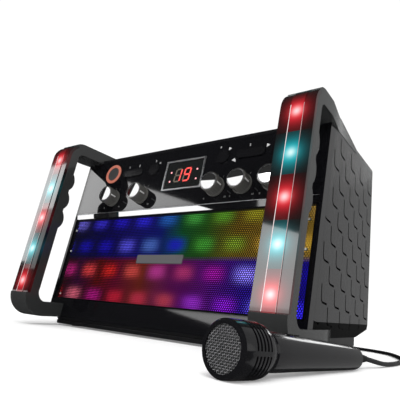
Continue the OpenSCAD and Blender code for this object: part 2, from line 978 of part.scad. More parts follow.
// A push key: its cap, a flange behind the panel and a stem towards the board
module key_below() {
    translate([0, 0, -4.4])
        children();
    translate([0, 0, -9.5])
        cylinder(r = 2, h = 6);
}

module round_key(at, d, proud) {
    on_front()
        translate([at[0], at[1], 0]) {
            translate([0, 0, -4])
                cylinder(d = d, h = 4 + proud);
            key_below()
                cylinder(d = d + 2.4, h = 1.2);
        }
}

module power_button() color([0.45, 0.45, 0.45])
    round_key(power_at, power_d, 0.6);

module stop_button() color([0.04, 0.04, 0.045])
    round_key(stop_at, round_d, 1.4);

module play_button() color([0.04, 0.04, 0.045])
    round_key(play_at, round_d, 1.4);

// One half of the split pill: side -1 is the left key and 1 the right
module half_pill(side) {
    on_front()
        translate([pill_at[0], pill_at[1], 0])
            intersection() {
                union() {
                    translate([0, 0, -4])
                        pill(pill_w, pill_h, 4 + 1.4);
                    translate([0, 0, -4.4])
                        pill(pill_w + 2.4, pill_h + 2.4, 1.2);
                    translate([side * 9, 0, -9.5])
                        cylinder(r = 2, h = 6);
                }
                translate([side > 0 ? 0.2 : -40.2, -20, -20])
                    cube([40, 40, 40]);
            }
}

module program_button() color([0.04, 0.04, 0.045])
    half_pill(-1);

module repeat_button() color([0.04, 0.04, 0.045])
    half_pill(1);

// Skip rocker: tilts about a line across its middle
rock_n = board_n + 7;

module skip_rocker() color([0.04, 0.04, 0.045])
    on_front()
        translate([skip_at[0], skip_at[1], 0]) {
            translate([0, 0, -4.2])
                pill(pill_w - 0.5, pill_h, 4.2 + 1.4);
            translate([0, 0, -5.2])
                pill(pill_w - 0.5, pill_h + 2.4, 1.3);
            translate([-1.5, -3, -8.6])
                cube([3, 6, 4]);
            translate([0, 5.2, rock_n])
                rotate([90, 0, 0])
                    cylinder(r = 1, h = 10.4);
            for (x = [-10, 10])
                translate([x, 0, -10])
                    cylinder(r = 1.5, h = 6);
        }

// Knobs: a ribbed body with a stem into its control, and a bright cap in its face
rib_n = 24;

module knob(i) {
    on_front()
        translate([knob_xs[i], knob_s, 0])
            difference() {
                union() {
                    translate([0, 0, 0.6])
                        cylinder(r = knob_d / 2 + 0.6, h = 2.4);
                    translate([0, 0, 2])
                        cylinder(r = knob_d / 2 - 0.6, h = knob_h - 2);
                    for (k = [0:rib_n - 1])
                        rotate(k * 360 / rib_n)
                            translate([knob_d / 2 - 1.4, -0.8, 2])
                                cube([1.4, 1.6, knob_h - 3.2]);
                    translate([0, 0, board_n + 2])
                        cylinder(r = 3, h = 20);
                }
                translate([0, 0, knob_h - 1])
                    cylinder(r = knob_d / 2 - 1.8, h = 5);
            }
}

module knob_cap(i) {
    on_front()
        translate([knob_xs[i], knob_s, knob_h - 1 + 0.02])
            difference() {
                union() {
                    cylinder(r = knob_d / 2 - 1.85, h = 1);
                    cylinder(r1 = knob_d / 2 - 1.85, r2 = knob_d / 2 - 2.6, h = 1.6);
                }
                translate([-0.6, 3, 1.2])
                    cube([1.2, 10, 3]);
            }
}

module volume_knob() color([0.13, 0.13, 0.13])
    knob(0);
module master_knob() color([0.13, 0.13, 0.13])
    knob(1);
module echo_knob() color([0.13, 0.13, 0.13])
    knob(2);
module balance_knob() color([0.13, 0.13, 0.13])
    knob(3);
module tone_knob() color([0.13, 0.13, 0.13])
    knob(4);
module volume_cap() color([0.85, 0.85, 0.85])
    knob_cap(0);
module master_cap() color([0.85, 0.85, 0.85])
    knob_cap(1);
module echo_cap() color([0.85, 0.85, 0.85])
    knob_cap(2);
module balance_cap() color([0.85, 0.85, 0.85])
    knob_cap(3);
module tone_cap() color([0.85, 0.85, 0.85])
    knob_cap(4);

// Microphone: it lies on the table to the right of the cabinet, its head to the front
mic_head_at = [181, -242];
mic_turn = -12;
mic_tail_r = 9;
mic_neck_r = 12.5;
head_l = 30;
mic_lift = mic_head_d / 2;
mic_dip = asin((mic_lift - mic_tail_r) / mic_l);

// Places the children on the microphone: z runs from its head to its tail
module on_mic() {
    translate([mic_head_at[0], mic_head_at[1], mic_lift])
        rotate([0, 0, mic_turn])
            rotate([-90 - mic_dip, 0, 0])
                children();
}

module mic_body() color([0.06, 0.06, 0.065])
    on_mic()
        difference() {
            rotate_extrude($fn = 72)
                polygon([[0, head_l + 4], [12, head_l + 4], [mic_neck_r, head_l + 6],
                         [mic_neck_r, head_l + 16], [11.8, head_l + 34], [mic_tail_r + 0.6, mic_l - 16],
                         [mic_tail_r, mic_l - 3], [mic_tail_r - 3, mic_l], [0, mic_l]]);
            translate([-20, -mic_neck_r - 20 + 1.6, head_l + 20])
                cube([40, 20, mic_l]);
            translate([0, -mic_neck_r + 1, 68])
                rotate([90, 0, 0])
                    rotate(90)
                        translate([0, 0, -2.2])
                            pill(26, 9, 8);
            translate([0, -mic_neck_r + 3.4, 128])
                rotate([90, 0, 0])
                    cylinder(r = 2, h = 10);
        }

// Head: the bezel and the slotted basket behind it
module mic_head() color([0.05, 0.05, 0.055])
    on_mic()
        difference() {
            rotate_extrude($fn = 72)
                polygon([[13.6, 0], [15.8, 0], [16.8, 1.2], [17, 6], [17, 22], [16.2, 27], [14, 31],
                         [12.4, 34], [9.8, 34], [9.8, 31], [13, 26], [14.6, 21], [14.6, 1.6],
                         [13.6, 1.6]]);
            for (a = [0:3])
                rotate(a * 90 + 45)
                    for (k = [0:4])
                        translate([0, -11, 9.5 + k * 3])
                            cube([30, 22, 1.5]);
        }

module mic_mesh() color([0.12, 0.12, 0.12])
    on_mic() {
        translate([0, 0, 1.6])
            cylinder(r = 14.4, h = 1.4);
        translate([0, 0, 3])
            cylinder(r = 12.6, h = 21);
        translate([0, 0, 24])
            cylinder(r = 9.4, h = head_l + 4 - 24);
    }

module mic_switch() color([0.03, 0.03, 0.03])
    on_mic()
        translate([0, -mic_neck_r + 2, 64])
            rotate([90, 0, 0])
                rotate(90) {
                    translate([0, 0, -1.1])
                        pill(15, 6.4, 1.8);
                    for (k = [-2:2])
                        translate([k * 2.2 - 0.6, -2.6, 0.5])
                            cube([1.2, 5.2, 1.2]);
                }

module mic_boot() color([0.05, 0.05, 0.05])
    on_mic()
        difference() {
            union() {
                translate([0, 0, mic_l])
                    cylinder(r1 = 5.4, r2 = 4.8, h = 2);
                translate([0, 0, mic_l + 2])
                    cylinder(r1 = 4.8, r2 = cord_d / 2 + 0.3, h = 18);
            }
            for (k = [0:4])
                translate([0, 0, mic_l + 5 + k * 2.6])
                    rotate_extrude()
                        translate([cord_d / 2 + 0.9 - k * 0.1, 0])
                            square([6, 1]);
        }

// Cord: hand-laid routes on the table, then a piled coil behind the cabinet
cord_r = cord_d / 2;
mic_dir = [-sin(mic_turn) * cos(mic_dip), cos(mic_turn) * cos(mic_dip), -sin(mic_dip)];
mic_end = [mic_head_at[0], mic_head_at[1], mic_lift] + (mic_l + 20) * mic_dir;
coil_at = [88, 160];
coil_out = 30;
coil_pitch = 4.5;
coil_turns = 3;
coil_layers = 4;
coil_z = 2.4;

front_route = [
    [222, -58, 4.5], [225, -40, 2.6], [228, -20, 2.2], [229, 5, 2.2], [227, 30, 2.2],
    [221, 55, 2.2], [212, 80, 2.2], [200, 103, 2.2], [182, 119, 2.2], [160, 127, 2.3],
    [140, 130, 2.4], [125, 139, 2.4], [118, 160, 2.4]];

rear_route = [
    [118, 160, 15.9], [118, 170, 15.9], [118, 183, 19], [118, 194, 30], [118, 198, 45],
    [118, 192, 60], [118, 178, 71], [118, 165, 74], [118, 152, 74]];

// A point on a smooth curve through the points of a route
function at_route(p, u) =
    let (i = min(floor(u), len(p) - 2), t = u - i,
         a = p[max(i - 1, 0)], b = p[i], c = p[i + 1], d = p[min(i + 2, len(p) - 1)])
    0.5 * (2 * b + (c - a) * t + (2 * a - 5 * b + 4 * c - d) * t * t
           + (3 * b - a - 3 * c + d) * t * t * t);

function unit(v) = v / norm(v);

// The rings of a tube along points, with the first and last rings square to given ways
function tube_points(pts, r, sides, way0, way1) = [
    for (i = [0:len(pts) - 1])
        let (w = i == 0 ? way0 : i == len(pts) - 1 ? way1 : unit(pts[i + 1] - pts[i - 1]),
             up = abs(w[2]) > 0.9 ? [1, 0, 0] : [0, 0, 1],
             u = unit(cross(up, w)), v = cross(w, u))
            for (k = [0:sides - 1])
                pts[i] + r * (cos(360 * k / sides) * u + sin(360 * k / sides) * v)];

function tube_faces(rings, sides) = concat(
    [[for (k = [0:sides - 1]) k]],
    [for (i = [0:rings - 2], k = [0:sides - 1])
        [i * sides + k, (i + 1) * sides + k, (i + 1) * sides + (k + 1) % sides]],
    [for (i = [0:rings - 2], k = [0:sides - 1])
        [i * sides + k, (i + 1) * sides + (k + 1) % sides, i * sides + (k + 1) % sides]],
    [[for (k = [sides - 1:-1:0]) (rings - 1) * sides + k]]);

module tube(pts, r, sides, way0, way1) {
    polyhedron(tube_points(pts, r, sides, way0, way1), tube_faces(len(pts), sides));
}

// Coil: spirals in and out again, a layer up in the half turn about each reversal
coil_steps = 24;
coil_n = coil_steps * coil_turns * coil_layers;
coil_fall = coil_pitch * coil_turns;

function coil_r(t) =
    let (m = t / coil_turns, j = floor(m), f = m - j)
    coil_out - coil_fall * (j % 2 == 0 ? f : 1 - f);

function coil_h(t) =
    let (m = t / coil_turns, j = round(m), e = (m - j) * coil_turns)
    coil_z + coil_pitch * (j < 1 || j >= coil_layers ? (j < 1 ? 0 : coil_layers - 1)
        : j - 1 + max(0, min(1, e * 2 + 0.5)));

function coil_point(i) =
    let (t = i / coil_steps, a = 360 * t)
    [coil_at[0] + coil_r(t) * cos(a), coil_at[1] + coil_r(t) * sin(a), coil_h(t)];

coil_pts = [for (i = [0:coil_n]) coil_point(i)];
coil_length = [for (i = [1:coil_n]) norm(coil_pts[i] - coil_pts[i - 1])] * [for (i = [1:coil_n]) 1];
coil_gap = min([for (i = [0:coil_n], k = [i + 12:coil_n]) norm(coil_pts[i] - coil_pts[k])]) - cord_d;

module mic_cord_front() color([0.05, 0.05, 0.05]) {
    n = 44;
    last = len(front_route) - 1;
    body = [for (i = [0:n]) at_route(front_route, i * last / n)];
    tube(concat([mic_end], [for (i = [1:n]) body[i]]), cord_r, 8, mic_dir, [0, 1, 0]);
}

module mic_cord_coil() color([0.05, 0.05, 0.05]) {
    echo(coil_gap = coil_gap, coil_length = coil_length);
    tube(coil_pts, cord_r, 6, [0, 1, 0], [0, 1, 0]);
}

module mic_cord_rear() color([0.05, 0.05, 0.05]) {
    n = 30;
    last = len(rear_route) - 1;
    tube([for (i = [0:n]) at_route(rear_route, i * last / n)], cord_r, 8, [0, 1, 0], [0, -1, 0]);
}

// Plug in the right-hand microphone socket
module mic_plug() color([0.2, 0.2, 0.21])
    translate([jack_x[0], half_d + 1.5, jack_z])
        rotate([-90, 0, 0]) {
            translate([0, 0, -24])
                cylinder(r = 3.15, h = 25);
            cylinder(r = 6.5, h = 26);
            translate([0, 0, 26])
                cylinder(r1 = 5, r2 = cord_r + 0.4, h = 21.5);
        }

base_pan();
feet();
front_frame();
front_grille();
control_panel();
top_cover();
left_side_panel();
right_side_panel();
rear_cover();
cover_screws();
left_handle();
right_handle();
left_lens();
right_lens();
led_strips();
led_bars();
speaker_frames();
speaker_cones();
main_board();
control_board();
display_frame();
display_window();
power_ring();
disc_well();
spindle_motor();
guide_rods();
hinge_pins();
mic_jacks();
av_jacks();
power_inlet();
disc_lid();
open_button();
turntable();
pickup();
power_button();
program_button();
repeat_button();
stop_button();
play_button();
skip_rocker();
volume_knob();
master_knob();
echo_knob();
balance_knob();
tone_knob();
volume_cap();
master_cap();
echo_cap();
balance_cap();
tone_cap();
mic_body();
mic_head();
mic_mesh();
mic_switch();
mic_boot();
mic_cord_front();
mic_cord_coil();
mic_cord_rear();
mic_plug();
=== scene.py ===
"""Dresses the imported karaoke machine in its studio, piece by piece."""

import json
import logging
import math
from dataclasses import dataclass, field
from enum import Enum
from functools import cache
from typing import Iterable, Sequence

import bmesh
import bpy
from mathutils import Matrix, Vector

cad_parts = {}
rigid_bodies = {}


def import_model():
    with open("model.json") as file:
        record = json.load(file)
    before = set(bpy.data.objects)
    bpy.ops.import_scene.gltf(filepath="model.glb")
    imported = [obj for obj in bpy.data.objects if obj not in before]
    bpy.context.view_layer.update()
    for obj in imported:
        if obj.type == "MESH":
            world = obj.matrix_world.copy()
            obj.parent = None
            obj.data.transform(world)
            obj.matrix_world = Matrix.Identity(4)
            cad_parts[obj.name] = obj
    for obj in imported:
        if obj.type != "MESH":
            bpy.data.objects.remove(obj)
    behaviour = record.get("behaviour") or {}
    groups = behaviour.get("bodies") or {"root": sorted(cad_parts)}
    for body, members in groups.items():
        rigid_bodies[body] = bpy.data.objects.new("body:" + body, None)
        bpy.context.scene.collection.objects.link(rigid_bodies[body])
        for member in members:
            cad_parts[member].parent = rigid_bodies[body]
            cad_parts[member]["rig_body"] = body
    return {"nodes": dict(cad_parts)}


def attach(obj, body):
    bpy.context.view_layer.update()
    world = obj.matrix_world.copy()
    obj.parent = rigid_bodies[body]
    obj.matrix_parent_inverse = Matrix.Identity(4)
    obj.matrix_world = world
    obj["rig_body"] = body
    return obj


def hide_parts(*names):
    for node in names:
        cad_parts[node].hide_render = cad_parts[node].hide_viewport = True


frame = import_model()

LOG = logging.getLogger("karaoke")
MM = 0.001
RAKE = math.radians(10.5)
COLUMN_RAKE = math.radians(10.0)
HALF_DEPTH = 103.0
COLUMN_REACH = 55.7
COLUMN_X = 163.75
BASE_Z = 10.5
GRILLE_N = -1.2
LEDGE_S = 134.5
LEDGE_TILT = math.atan2(1.2, 6.7)
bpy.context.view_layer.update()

Colour = tuple[float, float, float]
Point = tuple[float, float, float]
Outline = Sequence[tuple[float, float]]
BMesh = bmesh.types.BMesh
Node = bpy.types.Node
Socket = bpy.types.NodeSocket


def leaning(y_mm: float, z_mm: float, rake: float) -> Matrix:
    """Gives the frame of a face that leans back.

    Args:
        y_mm: Where the face starts, to the back.
        z_mm: Where it starts, above the table.
        rake: How far it leans back, in radians.

    Returns:
        A matrix from millimetres across, up the slope and outwards to metres in the row frame.
    """
    turn = Matrix.Rotation(math.pi / 2 - rake, 4, "X")
    return Matrix.Translation((0, y_mm * MM, z_mm * MM)) @ turn @ Matrix.Scale(MM, 4)


FRONT = leaning(-HALF_DEPTH, BASE_Z, RAKE)
LEDGE = FRONT @ Matrix.Translation((0, LEDGE_S, GRILLE_N)) @ Matrix.Rotation(LEDGE_TILT, 4, "X")
LENS = leaning(-HALF_DEPTH - COLUMN_REACH, BASE_Z, COLUMN_RAKE)
MIC_DIP = math.asin(8 / 150)
MIC = (Matrix.Translation((0.181, -0.242, 0.017)) @ Matrix.Rotation(math.radians(-12), 4, "Z")
       @ Matrix.Rotation(-math.pi / 2 - MIC_DIP, 4, "X") @ Matrix.Scale(MM, 4))


class Kind(str, Enum):
    """Socket types of the node groups."""

    NUMBER = "NodeSocketFloat"
    TINT = "NodeSocketColor"


# Node groups and finishes


class Graph:
    """Adds and joins nodes in one tree."""

    def __init__(self, tree: bpy.types.NodeTree) -> None:
        """Keeps the tree that nodes go into."""
        self.tree = tree

    def add(self, kind: str, **values: object) -> Node:
        """Adds a node.

        Args:
            kind: The node's type name.
            values: Its properties, or inputs when the name starts with "in_" and a number.

        Returns:
            The new node.
        """
        node = self.tree.nodes.new(kind)
        for key, value in values.items():
            if key.startswith("in_"):
                self.feed(node.inputs[int(key[3:])], value)
            else:
                setattr(node, key, value)
        return node

    def feed(self, socket: Socket, value: object) -> None:
        """Links an output into a socket, or sets the socket's value."""
        if isinstance(value, Socket):
            self.tree.links.new(value, socket)
        else:
            socket.default_value = value

    def fill(self, node: Node, values: dict[str, object]) -> Node:
        """Feeds a node's inputs by name and gives the node."""
        for name, value in values.items():
            self.feed(node.inputs[name], value)
        return node

    def math(self, operation: str, a: object, b: object = 0.0, clamp: bool = False) -> Socket:
        """Adds a Math node and gives its output."""
        return self.add("ShaderNodeMath", operation=operation, use_clamp=clamp, in_0=a, in_1=b).outputs[0]

    def mul(self, a: object, b: object, clamp: bool = False) -> Socket:
        """Multiplies two values."""
        return self.math("MULTIPLY", a, b, clamp)

    def plus(self, a: object, b: object, clamp: bool = False) -> Socket:
        """Adds two values."""
        return self.math("ADD", a, b, clamp)

    def minus(self, a: object, b: object) -> Socket:
        """Takes the second value from the first."""
        return self.math("SUBTRACT", a, b)

    def bell(self, square: object, spread: float) -> Socket:
        """Gives a bell curve of a squared distance."""
        return self.math("EXPONENT", self.mul(square, -1 / spread))

    def mix(self, factor: object, a: object, b: object, blend: str = "MIX") -> Socket:
        """Adds a colour Mix node and gives its output."""
        node = self.add("ShaderNodeMix", data_type="RGBA", blend_type=blend)
        self.feed(node.inputs[0], factor)
        self.feed(node.inputs[6], a if isinstance(a, Socket) else (*a, 1.0))
        self.feed(node.inputs[7], b if isinstance(b, Socket) else (*b, 1.0))
        return node.outputs[2]

    def dot(self, a: object, b: Sequence[float]) -> Socket:
        """Adds a dot product and gives its value."""
        node = self.add("ShaderNodeVectorMath", operation="DOT_PRODUCT", in_0=a)
        node.inputs[1].default_value = b
        return node.outputs["Value"]

    def ramp(self, factor: object, stops: Sequence[tuple[float, Colour]]) -> Socket:
        """Adds a colour ramp and gives its colour."""
        node = self.add("ShaderNodeValToRGB")
        self.feed(node.inputs[0], factor)
        while len(node.color_ramp.elements) < len(stops):
            node.color_ramp.elements.new(0.5)
        for element, (place, colour) in zip(node.color_ramp.elements, stops):
            element.position = place
            element.color = (*colour, 1.0)
        return node.outputs[0]

    def place(self) -> Socket:
        """Gives Object coordinates, in metres in the row frame."""
        return self.add("ShaderNodeTexCoord").outputs["Object"]

    def noise(self, scale: object, detail: float = 3.0, vector: object = None) -> Socket:
        """Adds a noise texture on Object coordinates and gives its value."""
        node = self.add("ShaderNodeTexNoise")
        node.inputs["Detail"].default_value = detail
        self.feed(node.inputs["Scale"], scale)
        self.feed(node.inputs["Vector"], self.place() if vector is None else vector)
        return node.outputs[0]


def new_group(name: str, inputs: dict[str, object],
              outputs: dict[str, Kind]) -> tuple[bpy.types.NodeTree, Graph, Node, Node]:
    """Makes an empty node group.

    Args:
        name: The group's name.
        inputs: Each input's default, which is a colour or a number.
        outputs: Each output's socket type.

    Returns:
        The tree, its graph, its input node and its output node.
    """
    tree = bpy.data.node_groups.new(name, "ShaderNodeTree")
    for label, default in inputs.items():
        kind = Kind.TINT if isinstance(default, tuple) else Kind.NUMBER
        socket = tree.interface.new_socket(name=label, in_out="INPUT", socket_type=kind.value)
        socket.default_value = default
    for label, kind in outputs.items():
        tree.interface.new_socket(name=label, in_out="OUTPUT", socket_type=kind.value)
    return tree, Graph(tree), tree.nodes.new("NodeGroupInput"), tree.nodes.new("NodeGroupOutput")


SURFACE_OUTPUTS = {"Color": Kind.TINT, "Roughness": Kind.NUMBER, "Height": Kind.NUMBER}


@cache
def moulded_group() -> bpy.types.NodeTree:
    """Builds the surface effect that most pieces share: faint tone drift, uneven gloss and a fine grain.

    Returns:
        The node group.
    """
    tree, g, source, sink = new_group(
        "moulded_surface",
        {"Color": (0.5, 0.5, 0.5, 1), "Drift": 0.1, "Roughness": 0.4, "Spread": 0.1, "Grain Scale": 1500.0,
         "Grain": 0.3},
        SURFACE_OUTPUTS)
    value = source.outputs
    slow = g.noise(26.0, 2.0)
    fine = g.noise(value["Grain Scale"], 2.0)
    swing = g.mul(g.minus(slow, 0.5), value["Drift"])
    bright = g.plus(g.mul(swing, 2.0), 1.0)
    g.feed(sink.inputs["Color"], g.mix(1.0, value["Color"], bright, "MULTIPLY"))
    uneven = g.mul(g.minus(g.noise(140.0, 4.0), 0.5), value["Spread"])
    g.feed(sink.inputs["Roughness"], g.plus(value["Roughness"], uneven, clamp=True))
    g.feed(sink.inputs["Height"], g.mul(fine, value["Grain"]))
    return tree


@cache
def brushed_group() -> bpy.types.NodeTree:
    """Builds the fine straight scratches of brushed metal, also laid on turned pieces.

    Returns:
        The node group.
    """
    tree, g, source, sink = new_group(
        "brushed_metal",
        {"Color": (0.8, 0.8, 0.8, 1), "Roughness": 0.3, "Scale": 900.0},
        SURFACE_OUTPUTS)
    value = source.outputs
    streak = g.add("ShaderNodeMapping", in_0=g.place())
    streak.inputs["Scale"].default_value = (0.06, 1.0, 1.0)
    lines = g.noise(value["Scale"], 4.0, streak.outputs[0])
    tone = g.plus(g.mul(lines, 0.25), 0.87)
    g.feed(sink.inputs["Color"], g.mix(1.0, value["Color"], tone, "MULTIPLY"))
    g.feed(sink.inputs["Roughness"], g.plus(value["Roughness"], g.mul(lines, 0.12)))
    g.feed(sink.inputs["Height"], lines)
    return tree


@cache
def column_group() -> bpy.types.NodeTree:
    """Builds the columns' light: lamps in turn red and cyan, with hot cores, a lit strip and soft halos.

    Returns:
        The node group.
    """
    first, pace, strip_half = 52.0, 40.0, 6.3
    top, top_fade, reach = 232.0, 14.0, 120.0
    tree, g, source, sink = new_group(
        "column_light", {"Strip": 0.5, "Halo": 0.4}, {"Color": Kind.TINT})
    axes = g.add("ShaderNodeSeparateXYZ", in_0=g.place())
    across = g.minus(g.mul(g.math("ABSOLUTE", axes.outputs[0]), 1000.0), COLUMN_X)
    height = g.mul(axes.outputs[2], 1000.0)
    lamp = g.math("DIVIDE", g.minus(height, first), pace)
    number = g.math("ROUND", lamp)
    along = g.mul(g.minus(lamp, number), pace)
    odd = g.math("PINGPONG", number, 1.0)
    tint = g.mix(odd, (0.8, 0.02, 0.035), (0.01, 0.46, 0.52))
    square = g.plus(g.math("POWER", across, 2.0), g.math("POWER", along, 2.0))
    core, near, halo = (g.bell(square, spread) for spread in (15.0, 60.0, 170.0))
    edge = g.mul(g.minus(strip_half, g.math("ABSOLUTE", across)), 1.6, clamp=True)
    fade = g.plus(g.mul(g.bell(g.math("POWER", along, 2.0), reach), 0.92), 0.08)
    fade = g.mul(fade, g.mul(g.minus(top, height), 1 / top_fade, clamp=True))
    glow = g.plus(g.mul(g.mul(edge, fade), source.outputs["Strip"]),
                  g.mul(halo, source.outputs["Halo"]))
    glow = g.plus(glow, g.mul(near, 0.5))
    lit = g.mix(1.0, tint, glow, "MULTIPLY")
    pale = g.mix(odd, (1.0, 0.72, 0.74), (0.72, 1.0, 1.0))
    g.feed(sink.inputs["Color"], g.mix(core, lit, pale))
    return tree


def new_material(name: str) -> tuple[bpy.types.Material, Graph, Node]:
    """Makes a material and gives it with its graph and its Principled shader."""
    made = bpy.data.materials.new(name)
    made.use_nodes = True
    return made, Graph(made.node_tree), made.node_tree.nodes["Principled BSDF"]


class Finish:
    """A named material that is built once."""

    made: dict[str, bpy.types.Material] = {}
    name: str

    def material(self) -> bpy.types.Material:
        """Gives the finish's material, built at its first use."""
        if self.name not in Finish.made:
            Finish.made[self.name], graph, shader = new_material(self.name)
            self.dress(graph, shader)
        return Finish.made[self.name]

    def dress(self, g: Graph, shader: Node) -> None:
        """Sets the shader's sockets and joins its textures."""
        raise NotImplementedError

    @staticmethod
    def cover(g: Graph, shader: Node, tree: bpy.types.NodeTree, depth_mm: float,
              values: dict[str, object]) -> None:
        """Joins a surface group's colour, roughness and relief to a shader.

        Args:
            g: The material's graph.
            shader: Its Principled shader.
            tree: The surface group.
            depth_mm: The relief's depth.
            values: The group's inputs.
        """
        surface = g.fill(g.add("ShaderNodeGroup", node_tree=tree), values).outputs
        bump = g.fill(g.add("ShaderNodeBump"), {
            "Strength": 1.0, "Distance": depth_mm * MM, "Height": surface["Height"]})
        g.fill(shader, {"Base Color": surface["Color"], "Roughness": surface["Roughness"],
                        "Normal": bump.outputs[0]})


@dataclass(frozen=True)
class Moulded(Finish):
    """Moulded plastic, paint or rubber, from polished to grained."""

    name: str
    colour: Colour
    roughness: float = 0.4
    spread: float = 0.08
    drift: float = 0.1
    grain_per_m: float = 1500.0
    grain_mm: float = 0.01
    coat: float = 0.0
    metallic: float = 0.0
    specular: float = 0.5

    def dress(self, g: Graph, shader: Node) -> None:
        """Joins the moulded surface group to the shader."""
        g.fill(shader, {"Coat Weight": self.coat, "Coat Roughness": 0.04, "Metallic": self.metallic,
                        "Specular IOR Level": self.specular})
        self.cover(g, shader, moulded_group(), self.grain_mm, {
            "Color": (*self.colour, 1), "Drift": self.drift, "Roughness": self.roughness,
            "Spread": self.spread, "Grain Scale": self.grain_per_m, "Grain": 1.0})


@dataclass(frozen=True)
class Brushed(Finish):
    """Turned or brushed metal."""

    name: str
    colour: Colour
    roughness: float = 0.25

    def dress(self, g: Graph, shader: Node) -> None:
        """Joins the brushed metal group to the shader."""
        g.fill(shader, {"Metallic": 1.0})
        self.cover(g, shader, brushed_group(), 0.004, {
            "Color": (*self.colour, 1), "Roughness": self.roughness})


@dataclass(frozen=True)
class Lit(Finish):
    """A lit translucent piece, or a painted highlight that glows though it is no lamp: its light is a little
    uneven over it.
    """

    name: str
    colour: Colour
    strength: float = 2.0
    base: Colour = (0.1, 0.1, 0.1)

    def dress(self, g: Graph, shader: Node) -> None:
        """Gives the shader an uneven light of one colour."""
        uneven = g.plus(g.mul(g.noise(220.0), 0.3), 0.85)
        mottled = g.mul(g.noise(500.0), 0.2)
        g.fill(shader, {"Emission Color": g.mix(1.0, self.colour, uneven, "MULTIPLY"), "Roughness": 0.2,
                        "Base Color": g.mix(mottled, self.base, self.colour),
                        "Emission Strength": self.strength})


@dataclass(frozen=True)
class ColumnLens(Finish):
    """The columns' smoked lens over its lamps."""

    name: str = "column_lens"

    def dress(self, g: Graph, shader: Node) -> None:
        """Lays the lamps' light over a smoked, polished surface."""
        light = g.fill(g.add("ShaderNodeGroup", node_tree=column_group()), {"Strip": 0.62, "Halo": 0.26})
        g.fill(shader, {"Emission Color": light.outputs["Color"], "Emission Strength": 1.0,
                        "Coat Weight": 0.3, "Coat Roughness": 0.03})
        self.cover(g, shader, moulded_group(), 0.001, {
            "Color": (0.008, 0.006, 0.006, 1), "Roughness": 0.06, "Spread": 0.03, "Grain Scale": 400.0})


@dataclass(frozen=True)
class LampShow(Finish):
    """The light behind the grille: staggered rows of lamps whose colours pass from side to side."""

    name: str = "lamp_show"
    strength: float = 2.9

    def dress(self, g: Graph, shader: Node) -> None:
        """Builds the lamps' spots and the glow between them."""
        first_x, first_s, pace, rise, shift = -141.0, 32.0, 38.0, 32.0, 19.0
        half_x, half_s, squareness = 12.0, 8.0, 2.6
        middle_s, middle_blend, dark_start, dark_span = 77.0, 6.0, 190.0, 170.0
        place = g.place()
        across = g.dot(place, (1000.0, 0, 0))
        slope = (0, 1000.0 * math.sin(RAKE), 1000.0 * math.cos(RAKE))
        start = -HALF_DEPTH * math.sin(RAKE) + BASE_Z * math.cos(RAKE)
        up = g.minus(g.dot(place, slope), start)
        row = g.math("DIVIDE", g.minus(up, first_s), rise)
        row_n = g.math("ROUND", row)
        row_x = g.plus(across, g.mul(g.math("PINGPONG", row_n, 1.0), shift))
        column = g.math("DIVIDE", g.minus(row_x, first_x), pace)
        column_n = g.math("ROUND", column)
        dx = g.mul(g.minus(column, column_n), pace)
        dy = g.mul(g.minus(row, row_n), rise)
        reach = g.plus(*(g.math("POWER", g.math("ABSOLUTE", g.math("DIVIDE", away, half)), squareness)
                         for away, half in ((dx, half_x), (dy, half_s))))
        spot = g.bell(reach, 1.0)
        cell = g.add("ShaderNodeCombineXYZ", in_0=column_n, in_1=row_n, in_2=5.0)
        chance = g.add("ShaderNodeTexWhiteNoise", noise_dimensions="3D", in_0=cell.outputs[0])
        upper_half = g.mul(g.minus(up, middle_s), 1 / middle_blend, clamp=True)
        lamp_x = g.minus(across, dx)
        stray = g.mul(g.minus(chance.outputs[0], 0.5), 80.0)
        spot_tint = self.tint(g, g.plus(lamp_x, stray), upper_half)
        base_tint = self.tint(g, across, upper_half)
        rare = g.mul(g.math("POWER", chance.outputs[0], 6.0), 0.3)
        paler = g.mix(rare, spot_tint, (0.85, 0.75, 1.0))
        left_dark = g.mul(g.plus(across, dark_start), 1 / dark_span, clamp=True)
        level = g.plus(g.mul(left_dark, 0.17), 0.018)
        glow = g.mul(level, g.plus(g.mul(g.noise(45.0), 0.9), 0.55))
        lit = g.mix(1.0, base_tint, glow, "MULTIPLY")
        bright_part = g.plus(g.mul(chance.outputs[0], 0.35), 0.65)
        hot = g.mix(1.0, paler, bright_part, "MULTIPLY")
        g.fill(shader, {"Emission Color": g.mix(spot, lit, hot), "Emission Strength": self.strength,
                        "Base Color": (0.004, 0.004, 0.004, 1), "Roughness": 0.6,
                        "Specular IOR Level": 0.0})

    @staticmethod
    def tint(g: Graph, x_mm: object, upper_half: object) -> Socket:
        """Gives the show's colour at a place across: blue to gold above, red to blue below.

        Args:
            g: The material's graph.
            x_mm: The place across, in millimetres.
            upper_half: 1 in the upper two rows and 0 in the lower two.

        Returns:
            The colour.
        """
        part = g.math("DIVIDE", g.plus(x_mm, 175.0), 350.0, clamp=True)
        upper = g.ramp(part, [
            (0.0, (0.008, 0.004, 0.5)), (0.3, (0.03, 0.015, 0.75)), (0.46, (0.008, 0.02, 0.6)),
            (0.55, (0.01, 0.3, 0.05)), (0.64, (0.06, 0.3, 0.02)), (0.75, (0.42, 0.25, 0.01)),
            (1.0, (0.7, 0.42, 0.06))])
        lower = g.ramp(part, [
            (0.0, (0.6, 0.012, 0.008)), (0.1, (0.42, 0.006, 0.36)), (0.2, (0.7, 0.02, 0.01)),
            (0.3, (0.65, 0.008, 0.12)), (0.42, (0.62, 0.07, 0.02)), (0.55, (0.42, 0.005, 0.35)),
            (0.68, (0.24, 0.006, 0.5)), (0.8, (0.06, 0.01, 0.72)), (1.0, (0.012, 0.006, 0.65))])
        return g.mix(upper_half, lower, upper)


